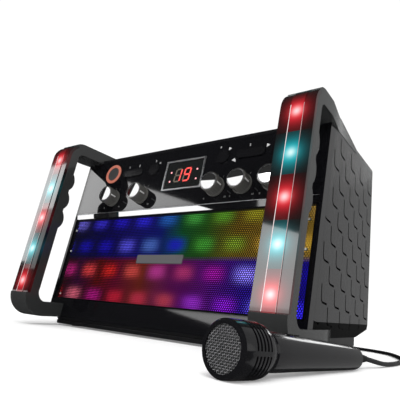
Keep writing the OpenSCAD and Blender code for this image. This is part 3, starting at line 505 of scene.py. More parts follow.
# Finishes by use
GLOSS_BLACK = Moulded("gloss_black", (0.008, 0.008, 0.009), 0.07, 0.04, 0.1, 500.0, 0.003, 0.3)
PANEL_BLACK = Moulded("panel_black", (0.004, 0.004, 0.005), 0.05, 0.02, 0.1, 500.0, 0.001, 0.3)
SIDE_BLACK = Moulded("side_black", (0.012, 0.012, 0.013), 0.2, 0.06, 0.12, 900.0, 0.004, 0.2)
# Painted shade: a darker, duller black for the grooves' recessed faces, where shade falls.
GROOVE_SHADE = Moulded("groove_painted_shade", (0.003, 0.003, 0.003), 0.6, 0.05, specular=0.1)
HANDLE_BLACK = Moulded("handle_black", (0.03, 0.031, 0.031), 0.16, 0.06, 0.12, 1200.0, 0.004, 0.2)
BASE_BLACK = Moulded("base_black", (0.006, 0.006, 0.007), 0.3, 0.1, 0.1, 2000.0)
REAR_BLACK = Moulded("rear_black", (0.025, 0.025, 0.027), 0.5, 0.1, 0.1, 1800.0, 0.05)
RUBBER = Moulded("rubber", (0.012, 0.012, 0.012), 0.6, 0.1, 0.15, 1500.0, 0.04)
CORD_BLACK = Moulded("cord_black", (0.008, 0.008, 0.009), 0.4, 0.1, 0.15, 900.0, 0.02)
GRILLE_BLACK = Moulded("grille_black", (0.003, 0.003, 0.004), 0.5, 0.1, specular=0.03)
KEY_BLACK = Moulded("key_black", (0.006, 0.006, 0.007), 0.12, 0.05, 0.1, 500.0, 0.003, 0.2)
KEY_GREY = Moulded("key_grey", (0.05, 0.05, 0.05), 0.3)
BADGE_GREY = Moulded("badge_grey", (0.06, 0.06, 0.065), 0.3, grain_mm=0.006)
KNOB_DARK = Moulded("knob_dark", (0.25, 0.245, 0.23), 0.2, 0.08, 0.15, 1200.0, 0.008, 0.0, 0.6)
DECK_BLACK = Moulded("deck_black", (0.03, 0.03, 0.033), 0.3)
BOARD_GREEN = Moulded("board_green", (0.03, 0.14, 0.06), 0.35, 0.1, 0.3, 900.0, 0.02)
BOARD_WHITE = Moulded("board_white", (0.7, 0.7, 0.66), 0.4, 0.1, 0.1, 900.0)
PAPER_CONE = Moulded("paper_cone", (0.03, 0.03, 0.03), 0.8, 0.1, 0.3, 900.0, 0.08)
MIC_BLACK = Moulded("mic_black", (0.006, 0.006, 0.007), 0.14, 0.06, 0.12, 2000.0, 0.004, 0.2)
MIC_GLOSS = Moulded("mic_gloss", (0.006, 0.006, 0.007), 0.12, 0.04, 0.1, 900.0, 0.003, 0.2)
MESH_DARK = Moulded("mesh_dark", (0.2, 0.2, 0.205), 0.3, 0.08, 0.2, 1500.0, 0.004, 0.0, 0.7)
MARK_WHITE = Moulded("mark_white", (0.6, 0.6, 0.6), 0.5, 0.05, 0.1, 2000.0, 0.002)
MARK_GREY = Moulded("mark_grey", (0.22, 0.22, 0.22), 0.5, 0.05, 0.1, 2000.0, 0.002)
MIRROR = Moulded("mirror_trim", (0.9, 0.9, 0.91), 0.04, 0.02, 0.04, 300.0, 0.0005, 0.0, 1.0)
SILVER = Brushed("silver_trim", (0.55, 0.55, 0.57), 0.22)
CAP_BRIGHT = Moulded("cap_bright", (0.88, 0.88, 0.88), 0.06, 0.03, 0.04, 300.0, 0.0005, 0.0, 1.0)
STEEL = Brushed("steel", (0.55, 0.55, 0.57), 0.25)
BRASS = Brushed("plated_brass", (0.8, 0.6, 0.28), 0.22)
WINDOW = Moulded("display_smoke", (0.01, 0.011, 0.011), 0.08, 0.02, 0.05, 300.0, 0.001, 0.3)
RING_LIGHT = Lit("ring_light", (1.0, 0.3, 0.2), 0.36, (0.1, 0.05, 0.04))
DIGIT_LIGHT = Lit("digit_light", (1.0, 0.02, 0.01), 1.2)
DIGIT_OFF = Moulded("digit_off", (0.11, 0.085, 0.06), 0.4, 0.05, 0.2, 900.0, 0.002)
DOT_LIGHT = Lit("dot_light", (1.0, 0.35, 0.38), 1.6)
# Painted highlights: glowing lines laid on the column lenses' rib edges stand in for the light those edges
# reflect, bright on one edge and dim on the other.
PAINTED_HIGHLIGHT = Lit("painted_highlight_line", (1.0, 0.82, 0.82), 0.7)
PAINTED_HIGHLIGHT_DIM = Lit("painted_highlight_line_dim", (0.9, 0.6, 0.6), 0.35)


# Making pieces


def linked(name: str, data: bpy.types.ID) -> bpy.types.Object:
    """Adds an object to the scene."""
    obj = bpy.data.objects.new(name, data)
    bpy.context.scene.collection.objects.link(obj)
    return obj


def mesh_of(name: str, bm: BMesh) -> bpy.types.Mesh:
    """Turns a bmesh into mesh data and frees it."""
    mesh = bpy.data.meshes.new(name)
    bm.to_mesh(mesh)
    bm.free()
    return mesh


def verts_in(geometry: Iterable[object]) -> list[bmesh.types.BMVert]:
    """Picks the vertices out of what an operator made."""
    return [v for v in geometry if isinstance(v, bmesh.types.BMVert)]


def make(name: str, bm: BMesh, finish: Finish, body: str = "cabinet",
         replaces: Sequence[str] = (), angle: float = 32.0, recalc: bool = True,
         weighted: bool = True) -> bpy.types.Object:
    """Turns a bmesh into a finished piece.

    Args:
        name: Its name.
        bm: Its mesh in the row frame, which is freed.
        finish: Its finish.
        body: The body it rides on.
        replaces: CAD nodes that it stands for.
        angle: The angle above which an edge is shaded sharp.
        recalc: Whether its normals are made to point outwards.
        weighted: Whether its large faces are kept flat.

    Returns:
        The new object.
    """
    if recalc:
        bmesh.ops.recalc_face_normals(bm, faces=bm.faces)
    mesh = mesh_of(name, bm)
    mesh.polygons.foreach_set("use_smooth", [True] * len(mesh.polygons))
    mesh.set_sharp_from_angle(angle=math.radians(angle))
    mesh.materials.append(finish.material())
    obj = linked(name, mesh)
    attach(obj, body)
    if replaces:
        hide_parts(*replaces)
    if weighted:
        keep_flat(obj)
    LOG.info("made %s: %d faces", name, len(mesh.polygons))
    return obj


def keep_flat(obj: bpy.types.Object) -> None:
    """Keeps a piece's large faces flat beside its small roundings."""
    normals = obj.modifiers.new("flat_faces", "WEIGHTED_NORMAL")
    normals.keep_sharp = True
    normals.weight = 100


def carried(node: str, finish: Finish, width_mm: float = 0.0, segments: int = 2) -> bpy.types.Object:
    """Dresses a CAD node, or a copy of it with rounded edges that replaces it.

    Args:
        node: The CAD node's name.
        finish: Its finish.
        width_mm: The rounding's width, or 0 to keep the node itself.
        segments: How many faces run across the rounding.

    Returns:
        The object that shows.
    """
    source = frame["nodes"][node]
    if not width_mm:
        source.data.materials.clear()
        source.data.materials.append(finish.material())
        return source
    bm = bmesh.new()
    bm.from_mesh(source.data)
    bmesh.ops.remove_doubles(bm, verts=bm.verts, dist=2e-6)
    bmesh.ops.dissolve_limit(bm, angle_limit=math.radians(0.6), verts=bm.verts, edges=bm.edges)
    piece = make(node + "_shell", bm, finish, source["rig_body"], [node], recalc=False, weighted=False)
    bevel = piece.modifiers.new("edges", "BEVEL")
    bevel.width, bevel.segments = width_mm * MM, segments
    bevel.limit_method, bevel.angle_limit = "ANGLE", math.radians(30)
    bevel.use_clamp_overlap, bevel.harden_normals = True, False
    bevel.miter_outer = "MITER_ARC"
    keep_flat(piece)
    return piece


def box_mesh(low: Point, high: Point, matrix: Matrix, bevel_mm: float = 0.0) -> BMesh:
    """Makes a box between two corners.

    Args:
        low: Its lowest corner.
        high: Its highest corner.
        matrix: Its own frame.
        bevel_mm: The rounding of its edges.

    Returns:
        The mesh, placed.
    """
    bm = bmesh.new()
    bmesh.ops.create_cube(bm, size=1.0)
    middle = [(a + b) / 2 for a, b in zip(low, high)]
    size = [b - a for a, b in zip(low, high)]
    bmesh.ops.scale(bm, vec=size, verts=bm.verts)
    bmesh.ops.translate(bm, vec=middle, verts=bm.verts)
    if bevel_mm:
        bmesh.ops.bevel(bm, geom=bm.edges[:], offset=bevel_mm, affect="EDGES", segments=2,
                        profile=0.5, material=-1)
    bm.transform(matrix)
    return bm


def plate_mesh(corners: Outline, low: float, high: float, matrix: Matrix) -> BMesh:
    """Makes a flat plate of any outline.

    Args:
        corners: Its outline.
        low: Its underside's level.
        high: Its top's level.
        matrix: Its own frame.

    Returns:
        The mesh, placed.
    """
    bm = bmesh.new()
    base = bm.faces.new([bm.verts.new((x, y, low)) for x, y in corners])
    top = bmesh.ops.extrude_face_region(bm, geom=[base])["geom"]
    bmesh.ops.translate(bm, vec=(0, 0, high - low), verts=verts_in(top))
    bm.transform(matrix)
    return bm


def lathe_mesh(profile: Outline, matrix: Matrix, steps: int = 48) -> BMesh:
    """Spins a profile of radius and height about the matrix's z axis.

    Args:
        profile: Points of radius and height, from one end to the other.
        matrix: Its own frame.
        steps: How many faces run round it.

    Returns:
        The mesh, placed.
    """
    bm = bmesh.new()
    verts = [bm.verts.new((r, 0, z)) for r, z in profile]
    edges = [bm.edges.new(pair) for pair in zip(verts, verts[1:])]
    bmesh.ops.spin(bm, geom=verts + edges, cent=(0, 0, 0), axis=(0, 0, 1), angle=2 * math.pi,
                   steps=steps, use_merge=True)
    bmesh.ops.remove_doubles(bm, verts=bm.verts, dist=1e-5)
    bm.transform(matrix)
    return bm


def joined(parts: Iterable[BMesh]) -> BMesh:
    """Joins several meshes into one and frees them."""
    whole = bmesh.new()
    for part in parts:
        loose = mesh_of("part", part)
        whole.from_mesh(loose)
        bpy.data.meshes.remove(loose)
    return whole


def text_mesh(words: str, size_mm: float, place: Point, matrix: Matrix) -> BMesh:
    """Makes raised figures.

    Args:
        words: The figures.
        size_mm: Their height.
        place: Where their middle is.
        matrix: Their own frame.

    Returns:
        The mesh, placed.
    """
    raised_mm = 0.05
    curve = bpy.data.curves.new("figures", "FONT")
    curve.body = words
    curve.size = size_mm * 1.4
    curve.align_x, curve.align_y = "CENTER", "CENTER"
    curve.extrude = raised_mm
    curve.resolution_u = 3
    holder = linked("figures", curve)
    mesh = bpy.data.meshes.new_from_object(holder)
    bm = bmesh.new()
    bm.from_mesh(mesh)
    bpy.data.objects.remove(holder)
    bpy.data.curves.remove(curve)
    bpy.data.meshes.remove(mesh)
    bm.transform(matrix @ Matrix.Translation(place))
    return bm


# Studio


@dataclass
class Studio:
    """Camera, lights, pale floor and the cards that the gloss reflects."""

    lens: float = 37.343
    shift: tuple[float, float] = (-0.0079, 0.1311)
    place: Point = (0.30155, -0.43811, 0.03849)
    right: Point = (0.82015508, 0.5656949, 0.08564411)
    down: Point = (-0.00387222, 0.15517528, -0.98787936)
    ahead: Point = (-0.57212817, 0.80988265, 0.12945829)
    aim: Point = (0, 0, 0.1)

    def camera(self) -> None:
        """Makes the camera at the photograph's viewing angle."""
        data = bpy.data.cameras.new("camera")
        data.lens, data.sensor_width = self.lens, 36.0
        data.shift_x, data.shift_y = self.shift
        data.clip_start = 0.01
        camera = linked("camera", data)
        turn = Matrix((self.right, [-v for v in self.down], [-v for v in self.ahead])).transposed()
        camera.matrix_world = Matrix.Translation(self.place) @ turn.to_4x4()
        bpy.context.scene.camera = camera

    def world(self) -> None:
        """Makes a white backdrop that lights softly and that gloss sees as nearly dark."""
        world = bpy.data.worlds.new("studio")
        world.use_nodes = True
        bpy.context.scene.world = world
        g = Graph(world.node_tree)
        out = world.node_tree.nodes["World Output"]
        path = g.add("ShaderNodeLightPath")
        seen, soft, gloss = (g.add("ShaderNodeBackground", in_0=(1, 1, 1, 1), in_1=level).outputs[0]
                             for level in (1.05, 0.7, 0.03))
        low = g.add("ShaderNodeMixShader", in_0=path.outputs["Is Glossy Ray"], in_1=soft, in_2=gloss)
        both = g.add("ShaderNodeMixShader", in_0=path.outputs["Is Camera Ray"], in_1=low.outputs[0],
                     in_2=seen)
        g.feed(out.inputs["Surface"], both.outputs[0])
        bpy.context.scene.view_settings.view_transform = "Standard"

    def light(self, name: str, place: Point, size: float, watts: float) -> None:
        """Adds a soft area light that points at the machine.

        Args:
            name: Its name.
            place: Where it stands.
            size: Its side in metres.
            watts: Its power.
        """
        data = bpy.data.lights.new(name, "AREA")
        data.size, data.energy = size, watts
        lamp = linked(name, data)
        lamp.visible_glossy = False
        lamp.location = place
        lamp.rotation_euler = (Vector(self.aim) - Vector(place)).to_track_quat("-Z", "Y").to_euler()

    def card(self, name: str, corners: Sequence[Point], strength: float) -> None:
        """Adds a lit card that only reflections see.

        Args:
            name: Its name.
            corners: Its corners in metres.
            strength: How bright it is.
        """
        bm = bmesh.new()
        bm.faces.new([bm.verts.new(c) for c in corners])
        made, g, shader = new_material(name)
        g.fill(shader, {"Base Color": (0, 0, 0, 1), "Emission Color": (1, 1, 1, 1),
                        "Emission Strength": strength})
        obj = linked(name, mesh_of(name, bm))
        obj.data.materials.append(made)
        obj.visible_camera = obj.visible_diffuse = obj.visible_shadow = False

    def mirror_card(self, name: str, face: Matrix, corners: Outline,
                    strength: float) -> None:
        """Adds a lit card where the camera sees it mirrored over the given corners of a flat face.

        Args:
            name: Its name.
            face: The face's frame.
            corners: The corners on the face, across and up, in millimetres.
            strength: How bright it is.
        """
        away = 1000.0
        eye = face.inverted() @ Vector(self.place)
        k = away / eye.z
        seen = [face @ Vector((x + (x - eye.x) * k, s + (s - eye.y) * k, away)) for x, s in corners]
        self.card(name, seen, strength)

    def floor(self) -> None:
        """Lays the pale floor, which fades out into the white backdrop."""
        bm = bmesh.new()
        bmesh.ops.create_circle(bm, cap_ends=True, segments=96, radius=1.6)
        made, g, shader = new_material("pale_floor")
        span = g.add("ShaderNodeVectorMath", operation="LENGTH", in_0=g.place())
        fade = g.mul(g.minus(span.outputs["Value"], 0.5), 1 / 0.6, clamp=True)
        g.fill(shader, {"Base Color": (0.95, 0.95, 0.95, 1), "Roughness": 0.9, "Specular IOR Level": 0.0,
                        "Emission Color": (1, 1, 1, 1), "Emission Strength": 0.2,
                        "Alpha": g.minus(1.0, fade)})
        floor = linked("floor", mesh_of("floor", bm))
        floor.data.materials.append(made)
        floor.visible_glossy = False

    def build(self) -> None:
        """Builds the whole studio."""
        self.camera()
        self.world()
        self.floor()
        self.light("key", (0.9, -1.4, 1.8), 1.2, 22.0)
        self.light("fill", (-1.5, -0.9, 1.2), 1.4, 10.0)
        self.light("rear", (0.8, 1.6, 1.5), 1.4, 14.0)
        for name, face, strength, corners in (
                ("panel_card", FRONT, 3.7, [(-174, 141), (-174, 213), (35, 141)]),
                ("band_card", FRONT, 3.0, [(20, 22.5), (127, 4.1), (240, 4.1), (240, 23)]),
                ("ledge_card", LEDGE, 1.15, [(-174, -2), (-174, 9), (28, 9), (60, -2)]),
                ("right_lens_card", LENS, 5.2, [(140, 21.8), (187, 21.8), (187, 89), (140, 103.6)]),
                ("left_lens_card", LENS, 4.2, [(-330, 66), (-142, 66), (-142, 197.5), (-330, 197.5)]),
                ("left_foot_card", LENS, 1.7, [(-330, -12), (-142, -12), (-142, 26), (-330, 26)]),
                ("right_foot_card", LENS, 0.8, [(142, -12), (195, -12), (195, 14), (142, 14)])):
            self.mirror_card(name, face, corners, strength)
        self.card("mic_card", [(0.1, 3.1, 1.2), (0.6, 3.1, 1.2), (0.6, 3.1, 1.9), (0.1, 3.1, 1.9)], 4.0)
        low = [(-1750, 300), (-380, 300), (-380, 640), (-1750, 640)]
        self.card("knob_card", [FRONT @ Vector((x, s, 1000)) for x, s in low], 1.1)
        self.card("side_card", [(0.6, 3.2, -3.0), (4.6, 3.2, -3.0), (4.6, 3.2, 3.5), (0.6, 3.2, 3.5)], 0.32)
        self.card("inner_card", [(4.6, 3.2, 0.0), (4.6, -1.0, 0.0), (4.6, -1.0, 3.5), (4.6, 3.2, 3.5)], 0.6)


# Microphone cord


@dataclass
class MicCord:
    """The microphone's cord: along the table, a coil behind the cabinet, and up to its plug."""

    diameter: float = 4.0
    coil_at: tuple[float, float] = (88.0, 160.0)
    coil_out: float = 30.0
    pitch: float = 4.5
    turns: int = 3
    layers: int = 4
    coil_z: float = 2.4
    front_route: tuple[Point, ...] = (
        (222, -58, 4.5), (225, -40, 2.6), (228, -20, 2.2), (229, 5, 2.2), (227, 30, 2.2),
        (221, 55, 2.2), (212, 80, 2.2), (200, 103, 2.2), (182, 119, 2.2), (160, 127, 2.3),
        (140, 130, 2.4), (125, 139, 2.4), (118, 160, 2.4))
    rear_route: tuple[Point, ...] = (
        (118, 160, 15.9), (118, 170, 15.9), (118, 183, 19), (118, 194, 30), (118, 198, 45),
        (118, 192, 60), (118, 178, 71), (118, 165, 74), (118, 152, 74))

    def along(self, route: Sequence[Point], count: int) -> list[Vector]:
        """Gives points on a smooth curve through a route.

        Args:
            route: The route's points in millimetres.
            count: How many stretches the curve is cut into.

        Returns:
            The curve's points in millimetres.
        """
        p = [Vector(v) for v in route]
        last = len(p) - 1
        points = []
        for k in range(count + 1):
            u = k * last / count
            i = min(int(u), last - 1)
            t = u - i
            a, b, c, d = p[max(i - 1, 0)], p[i], p[i + 1], p[min(i + 2, last)]
            points.append(0.5 * (2 * b + (c - a) * t + (2 * a - 5 * b + 4 * c - d) * t * t
                                 + (3 * b - a - 3 * c + d) * t ** 3))
        return points

    def coil(self) -> list[Vector]:
        """Gives the coil's points in millimetres, spiralling in and out and climbing between."""
        steps = 24
        fall = self.pitch * self.turns
        points = []
        for i in range(steps * self.turns * self.layers + 1):
            t = i / steps
            m = t / self.turns
            j, f = math.floor(m), m - math.floor(m)
            radius = self.coil_out - fall * (f if j % 2 == 0 else 1 - f)
            k = math.floor(m + 0.5)
            e = (m - k) * self.turns
            if k < 1:
                climb = 0.0
            elif k >= self.layers:
                climb = self.layers - 1
            else:
                climb = k - 1 + max(0.0, min(1.0, e * 2 + 0.5))
            a = 2 * math.pi * t
            x, y = self.coil_at
            points.append(Vector((x + radius * math.cos(a), y + radius * math.sin(a),
                                  self.coil_z + self.pitch * climb)))
        return points

    def build(self) -> None:
        """Builds the cord as one curve from the microphone's boot to its plug."""
        start = MIC @ Vector((0, 0, 170.0))
        points = [start / MM] + self.along(self.front_route, 44)[1:] + self.coil()[1:] \
            + self.along(self.rear_route, 30)[1:]
        points = [p * MM for p in points]
        curve = bpy.data.curves.new("mic_cord", "CURVE")
        curve.dimensions = "3D"
        spline = curve.splines.new("POLY")
        spline.points.add(len(points) - 1)
        for point, target in zip(spline.points, points):
            point.co = (*target, 1.0)
        curve.bevel_depth = self.diameter / 2 * MM
        curve.bevel_resolution = 3
        curve.use_fill_caps = True
        curve.materials.append(CORD_BLACK.material())
        cord = linked("mic_cord", curve)
        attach(cord, "cabinet")
        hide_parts("mic_cord_front", "mic_cord_coil", "mic_cord_rear")


# Cabinet


@dataclass
class Cabinet:
    """The shells round the works."""

    shells: dict[str, tuple[Finish, float]] = field(default_factory=lambda: {
        "base_pan": (BASE_BLACK, 0.6), "feet": (RUBBER, 0.3), "front_frame": (PANEL_BLACK, 0),
        "top_cover": (GLOSS_BLACK, 0), "rear_cover": (REAR_BLACK, 0), "cover_screws": (STEEL, 0.12),
        "mic_jacks": (REAR_BLACK, 0.2), "av_jacks": (BRASS, 0.15), "power_inlet": (REAR_BLACK, 0.2),
        "main_board": (BOARD_GREEN, 0), "control_board": (BOARD_GREEN, 0)})
    side_x: float = 175.0

    def build(self) -> None:
        """Dresses every shell, and paints shade into the side panels' hooked grooves with a darker, duller
        black.
        """
        for node, (finish, width) in self.shells.items():
            carried(node, finish, width)
        for side in ("left", "right"):
            panel = carried(side + "_side_panel", SIDE_BLACK, 0.3).data
            # Painted shade: faces set in from the panel's outer side, such as the groove floors and walls,
            # take the darker black.
            panel.materials.append(GROOVE_SHADE.material())
            for face in panel.polygons:
                if abs(face.center.x) < (self.side_x - 0.2) * MM:
                    face.material_index = 1


# Grille


@dataclass
class Grille:
    """The perforated grille with the light show and the loudspeakers behind it."""

    low: tuple[float, float] = (-171.2, 23.7)
    high: tuple[float, float] = (171.2, 134.3)
    pitch: float = 2.4
    hole: float = 0.9
    level: float = GRILLE_N
    sheet: float = 0.5
    screws: tuple[tuple[float, float], ...] = ((164.5, 118), (164.5, 88.7), (161, 30))

    def perforated(self) -> BMesh:
        """Makes the perforated field as rows of six-sided rings.

        Returns:
            The mesh in the front face's frame, placed.
        """
        step_s = self.pitch * math.sqrt(3) / 2
        columns = int((self.high[0] - self.low[0] - 3) / self.pitch)
        rows = int((self.high[1] - self.low[1] - 2) / step_s)
        outer = self.pitch / math.sqrt(3)
        cell = bmesh.new()
        for shift in (0.0, self.pitch / 2):
            ring = bmesh.ops.create_circle(cell, segments=6, radius=outer)["verts"]
            edges = list({e for v in ring for e in v.link_edges})
            made = bmesh.ops.extrude_edge_only(cell, edges=edges)["geom"]
            inner = verts_in(made)
            bmesh.ops.scale(cell, vec=[self.hole / outer] * 3, verts=inner)
            rim = [e for e in made if isinstance(e, bmesh.types.BMEdge) and all(v in inner for v in e.verts)]
            deep = bmesh.ops.extrude_edge_only(cell, edges=rim)["geom"]
            bmesh.ops.translate(cell, vec=(0, 0, -self.sheet), verts=verts_in(deep))
            bmesh.ops.translate(cell, vec=(shift, step_s if shift else 0, 0),
                                verts=ring + inner + verts_in(deep))
        holder = linked("grille_cell", mesh_of("grille_cell", cell))
        for axis, (count, pace) in enumerate([(columns, self.pitch), (rows // 2, 2 * step_s)]):
            array = holder.modifiers.new(f"row_{axis}", "ARRAY")
            array.count = count
            array.use_relative_offset = False
            array.use_constant_offset = True
            offset = [0.0, 0.0, 0.0]
            offset[axis] = pace
            array.constant_offset_displace = offset
        grown = bpy.data.meshes.new_from_object(
            holder.evaluated_get(bpy.context.evaluated_depsgraph_get()))
        bpy.data.objects.remove(holder)
        bm = bmesh.new()
        bm.from_mesh(grown)
        bpy.data.meshes.remove(grown)
        width = (columns - 0.5) * self.pitch
        height = (2 * (rows // 2) - 1) * step_s
        bmesh.ops.translate(bm, vec=(-width / 2, (self.low[1] + self.high[1] - height) / 2, self.level),
                            verts=bm.verts)
        bm.transform(FRONT)
        return bm

    def build(self) -> None:
        """Builds the grille, its border, its light and the badge's bare plate."""
        field_mesh = self.perforated()
        bmesh.ops.reverse_faces(field_mesh, faces=[f for f in field_mesh.faces if f.normal.y > 0.9])
        grille = make("grille_sheet", field_mesh, GRILLE_BLACK, recalc=False,
                      weighted=False)
        x0, s0, x1, s1 = *self.low, *self.high
        z0, z1, edge = self.level - 1, self.level + 0.3, 1.9
        sides = ((x0, s0, x1, s0 + edge), (x0, s1 - edge, x1, s1),
                 (x0, s0, x0 + edge, s1), (x1 - edge, s0, x1, s1))
        rim = joined(box_mesh((*side[:2], z0), (*side[2:], z1), FRONT, 0.2) for side in sides)
        make("grille_rim", rim, GRILLE_BLACK, replaces=["front_grille"])
        light = bmesh.new()
        bmesh.ops.create_grid(light, x_segments=2, y_segments=2, size=0.5)
        light.transform(FRONT @ Matrix.Translation((0, (s0 + s1) / 2, self.level - 3))
                        @ Matrix.Diagonal((2 * 168, s1 - s0 - 4.5, 1, 1)))
        make("lamp_diffuser", light, LampShow(), recalc=False)
        for node in ("led_bars", "led_strips"):
            carried(node, BOARD_WHITE)
        carried("speaker_frames", STEEL)
        carried("speaker_cones", PAPER_CONE)
        badge = box_mesh((-39.5, 72.7, self.level), (28, 83.2, self.level + 0.6), FRONT, 0.25)
        make("badge_plate", badge, BADGE_GREY)
        screws = [lathe_mesh([(0, 0.8), (1.1, 0.7), (1.5, 0.35), (1.6, 0)],
                             FRONT @ Matrix.Translation((side * x, s, self.level)), 20)
                  for side in (-1, 1) for x, s in self.screws]
        make("grille_screws", joined(screws), STEEL)
        slip = [(-171.3, 0.3), (55.7, 0.3), (34.0, 6.4), (-171.3, 6.4)]
        make("ledge_trim", plate_mesh(slip, 0.02, 0.3, LEDGE), MIRROR)
        line = box_mesh((-171.3, 141.25, -0.1), (171.3, 141.9, 0.3), FRONT, 0.1)
        make("panel_line", line, SILVER)
        LOG.info("grille has %d faces", len(grille.data.polygons))


# Controls


@dataclass
class Controls:
    """Everything on the control panel."""

    knobs: tuple[tuple[str, float, float], ...] = (
        ("volume", -107.0, 80.0), ("master", -57.0, 72.0), ("echo", 53.5, -4.0), ("balance", 87.0, 4.0),
        ("tone", 122.2, 0.0))
    knob_s: float = 161.0
    display: tuple[float, float] = (3.2, 183.4)
    window_n: float = 0.21
    cap_slope: float = 0.14
    tick_r: float = 14.6
    figures: tuple[tuple[float, float], ...] = (
        (-91.5, 205.0), (-73.5, 205.0), (-46.0, 208.0), (50.0, 211.5), (88.0, 208.5))
    arrows: tuple[tuple[float, float, float], ...] = (
        (62.5, 208.0, 2.4), (109.5, 204.5, 2.6), (71.5, 191.5, -2.0), (70.0, 192.6, -2.6))

    def marks(self) -> None:
        """Prints the dials' end figures and the keys' plain symbols."""
        bright, faint = [], []
        for _, x, _ in self.knobs:
            for dx, figure in ((-13.5, "0"), (13.5, "10")):
                faint.append(text_mesh(figure, 2.2, (x + dx, self.knob_s - 12.5, 0), FRONT))
            for k in range(3):
                a = math.radians(60 + k * 30)
                outward = (x + self.tick_r * math.cos(a), self.knob_s + self.tick_r * math.sin(a), 0.02)
                spot = FRONT @ Matrix.Translation(outward) @ Matrix.Rotation(a, 4, "Z")
                faint.append(box_mesh((-0.9, -0.14, 0), (0.9, 0.14, 0.04), spot))
        for k, (x, s) in enumerate(self.figures):
            bright.append(text_mesh(str(k + 1), 3.0, (x, s, 0), FRONT))
        bright += [self.arrow(*arrow) for arrow in self.arrows]
        faint.append(box_mesh((-39.6, 203.2, 0.02), (-37.2, 205.6, 0.06), FRONT))
        make("panel_marks", joined(bright), MARK_WHITE)
        make("faint_marks", joined(faint), MARK_GREY)

    @staticmethod
    def arrow(x: float, s: float, size: float) -> BMesh:
        """Makes one flat arrowhead that points along the panel.

        Args:
            x: Its middle across.
            s: Its middle up the slope.
            size: Half its length, below 0 where it points left.

        Returns:
            The mesh, placed.
        """
        bm = bmesh.new()
        half = abs(size)
        bmesh.ops.create_cone(bm, cap_ends=True, segments=3, radius1=half, radius2=half, depth=0.05)
        turn = -math.pi / 2 if size > 0 else math.pi / 2
        bm.transform(FRONT @ Matrix.Translation((x, s, 0.03)) @ Matrix.Rotation(turn, 4, "Z"))
        return bm

    def segments(self, value: str, x: float, s: float, height: float) -> list[tuple[bool, BMesh]]:
        """Makes one seven-bar figure.

        Args:
            value: The figure.
            x: Its middle across.
            s: Its middle up the slope.
            height: Its height.

        Returns:
            Whether each bar is lit, and its mesh.
        """
        places = {"a": (0, 1, 0), "b": (0.5, 0.5, 1), "c": (0.5, -0.5, 1), "d": (0, -1, 0),
                  "e": (-0.5, -0.5, 1), "f": (-0.5, 0.5, 1), "g": (0, 0, 0)}
        half, slant, bars = height / 2, Matrix.Identity(4), []
        slant[0][1] = 0.12
        placed = FRONT @ Matrix.Translation((x, s, self.window_n)) @ slant
        for name, (bx, by, upright) in places.items():
            w, h = half * 0.43, height * 0.06
            if upright:
                w, h = h, w
            cx, cy = bx * height * 0.5, by * half
            bar = box_mesh((cx - w, cy - h, 0), (cx + w, cy + h, 0.1), placed)
            bars.append((name in {"1": "bc", "9": "abcdfg"}[value], bar))
        return bars

    def cap(self, name: str, x: float, turn: float) -> None:
        """Gives a knob its bright face of two slopes, a rim and a pointer bar on its side.

        Args:
            name: The knob's name.
            x: Its place across.
            turn: How far the ridge between the slopes is turned from level, in degrees.
        """
        centre = FRONT @ Matrix.Translation((x, self.knob_s, 0))
        face = bmesh.new()
        bmesh.ops.create_circle(face, cap_ends=True, segments=48, radius=9.1)
        bmesh.ops.bisect_plane(face, geom=face.verts[:] + face.edges[:] + face.faces[:], plane_co=(0, 0, 0),
                               plane_no=(0, 1, 0))
        side = bmesh.ops.extrude_edge_only(face, edges=[e for e in face.edges if e.is_boundary])["geom"]
        foot = verts_in(side)
        for v in face.verts:
            v.co.z = 15.05 if v in foot else 16.75 - abs(v.co.y) * self.cap_slope
        face.transform(centre @ Matrix.Rotation(math.radians(turn), 4, "Z"))
        make(name + "_face", face, CAP_BRIGHT, name + "_knob", replaces=[name + "_cap"], angle=6,
             weighted=False)
        rim = [(9.15, 15.4), (9.25, 16.1), (9.6, 16.3), (10.0, 16.2), (10.2, 15.8)]
        make(name + "_rim", lathe_mesh(rim, centre), SILVER, name + "_knob")
        aside = centre @ Matrix.Rotation(math.radians(-8), 4, "Z")
        bar = box_mesh((10.6, -0.75, 7.0), (11.25, 0.75, 14.6), aside, 0.2)
        make(name + "_pointer", bar, MARK_WHITE, name + "_knob")

    def build(self) -> None:
        """Dresses the panel, its keys, knobs and display."""
        carried("control_panel", PANEL_BLACK)
        carried("display_frame", SILVER, 0.5)
        carried("display_window", WINDOW)
        carried("power_ring", RING_LIGHT, 0.4)
        carried("power_button", KEY_GREY, 0.4)
        for key in ("program_button", "repeat_button", "stop_button", "play_button", "skip_rocker"):
            carried(key, KEY_BLACK, 0.3)
        for name, x, turn in self.knobs:
            carried(name + "_knob", KNOB_DARK, 0.2)
            self.cap(name, x, turn)
        self.marks()
        digits = (("1", -4.6), ("9", 8.6))
        bars = [bar for value, x in digits for bar in self.segments(value, x, 182.7, 16.0)]
        for name, finish, wanted in (("lit", DIGIT_LIGHT, True), ("dark", DIGIT_OFF, False)):
            chosen = joined(bar for lit, bar in bars if lit is wanted)
            make(f"display_{name}_bars", chosen, finish)
        dome = [(0, 0.4), (0.8, 0.25), (1.15, 0)]
        dots = [lathe_mesh(dome, FRONT @ Matrix.Translation((x, s, self.window_n)), 16)
                for x, s in ((-15.7, 187.5), (-15.7, 175.6), (22.4, 188), (22.9, 175.6))]
        make("display_dots", joined(dots), DOT_LIGHT)


# Light columns


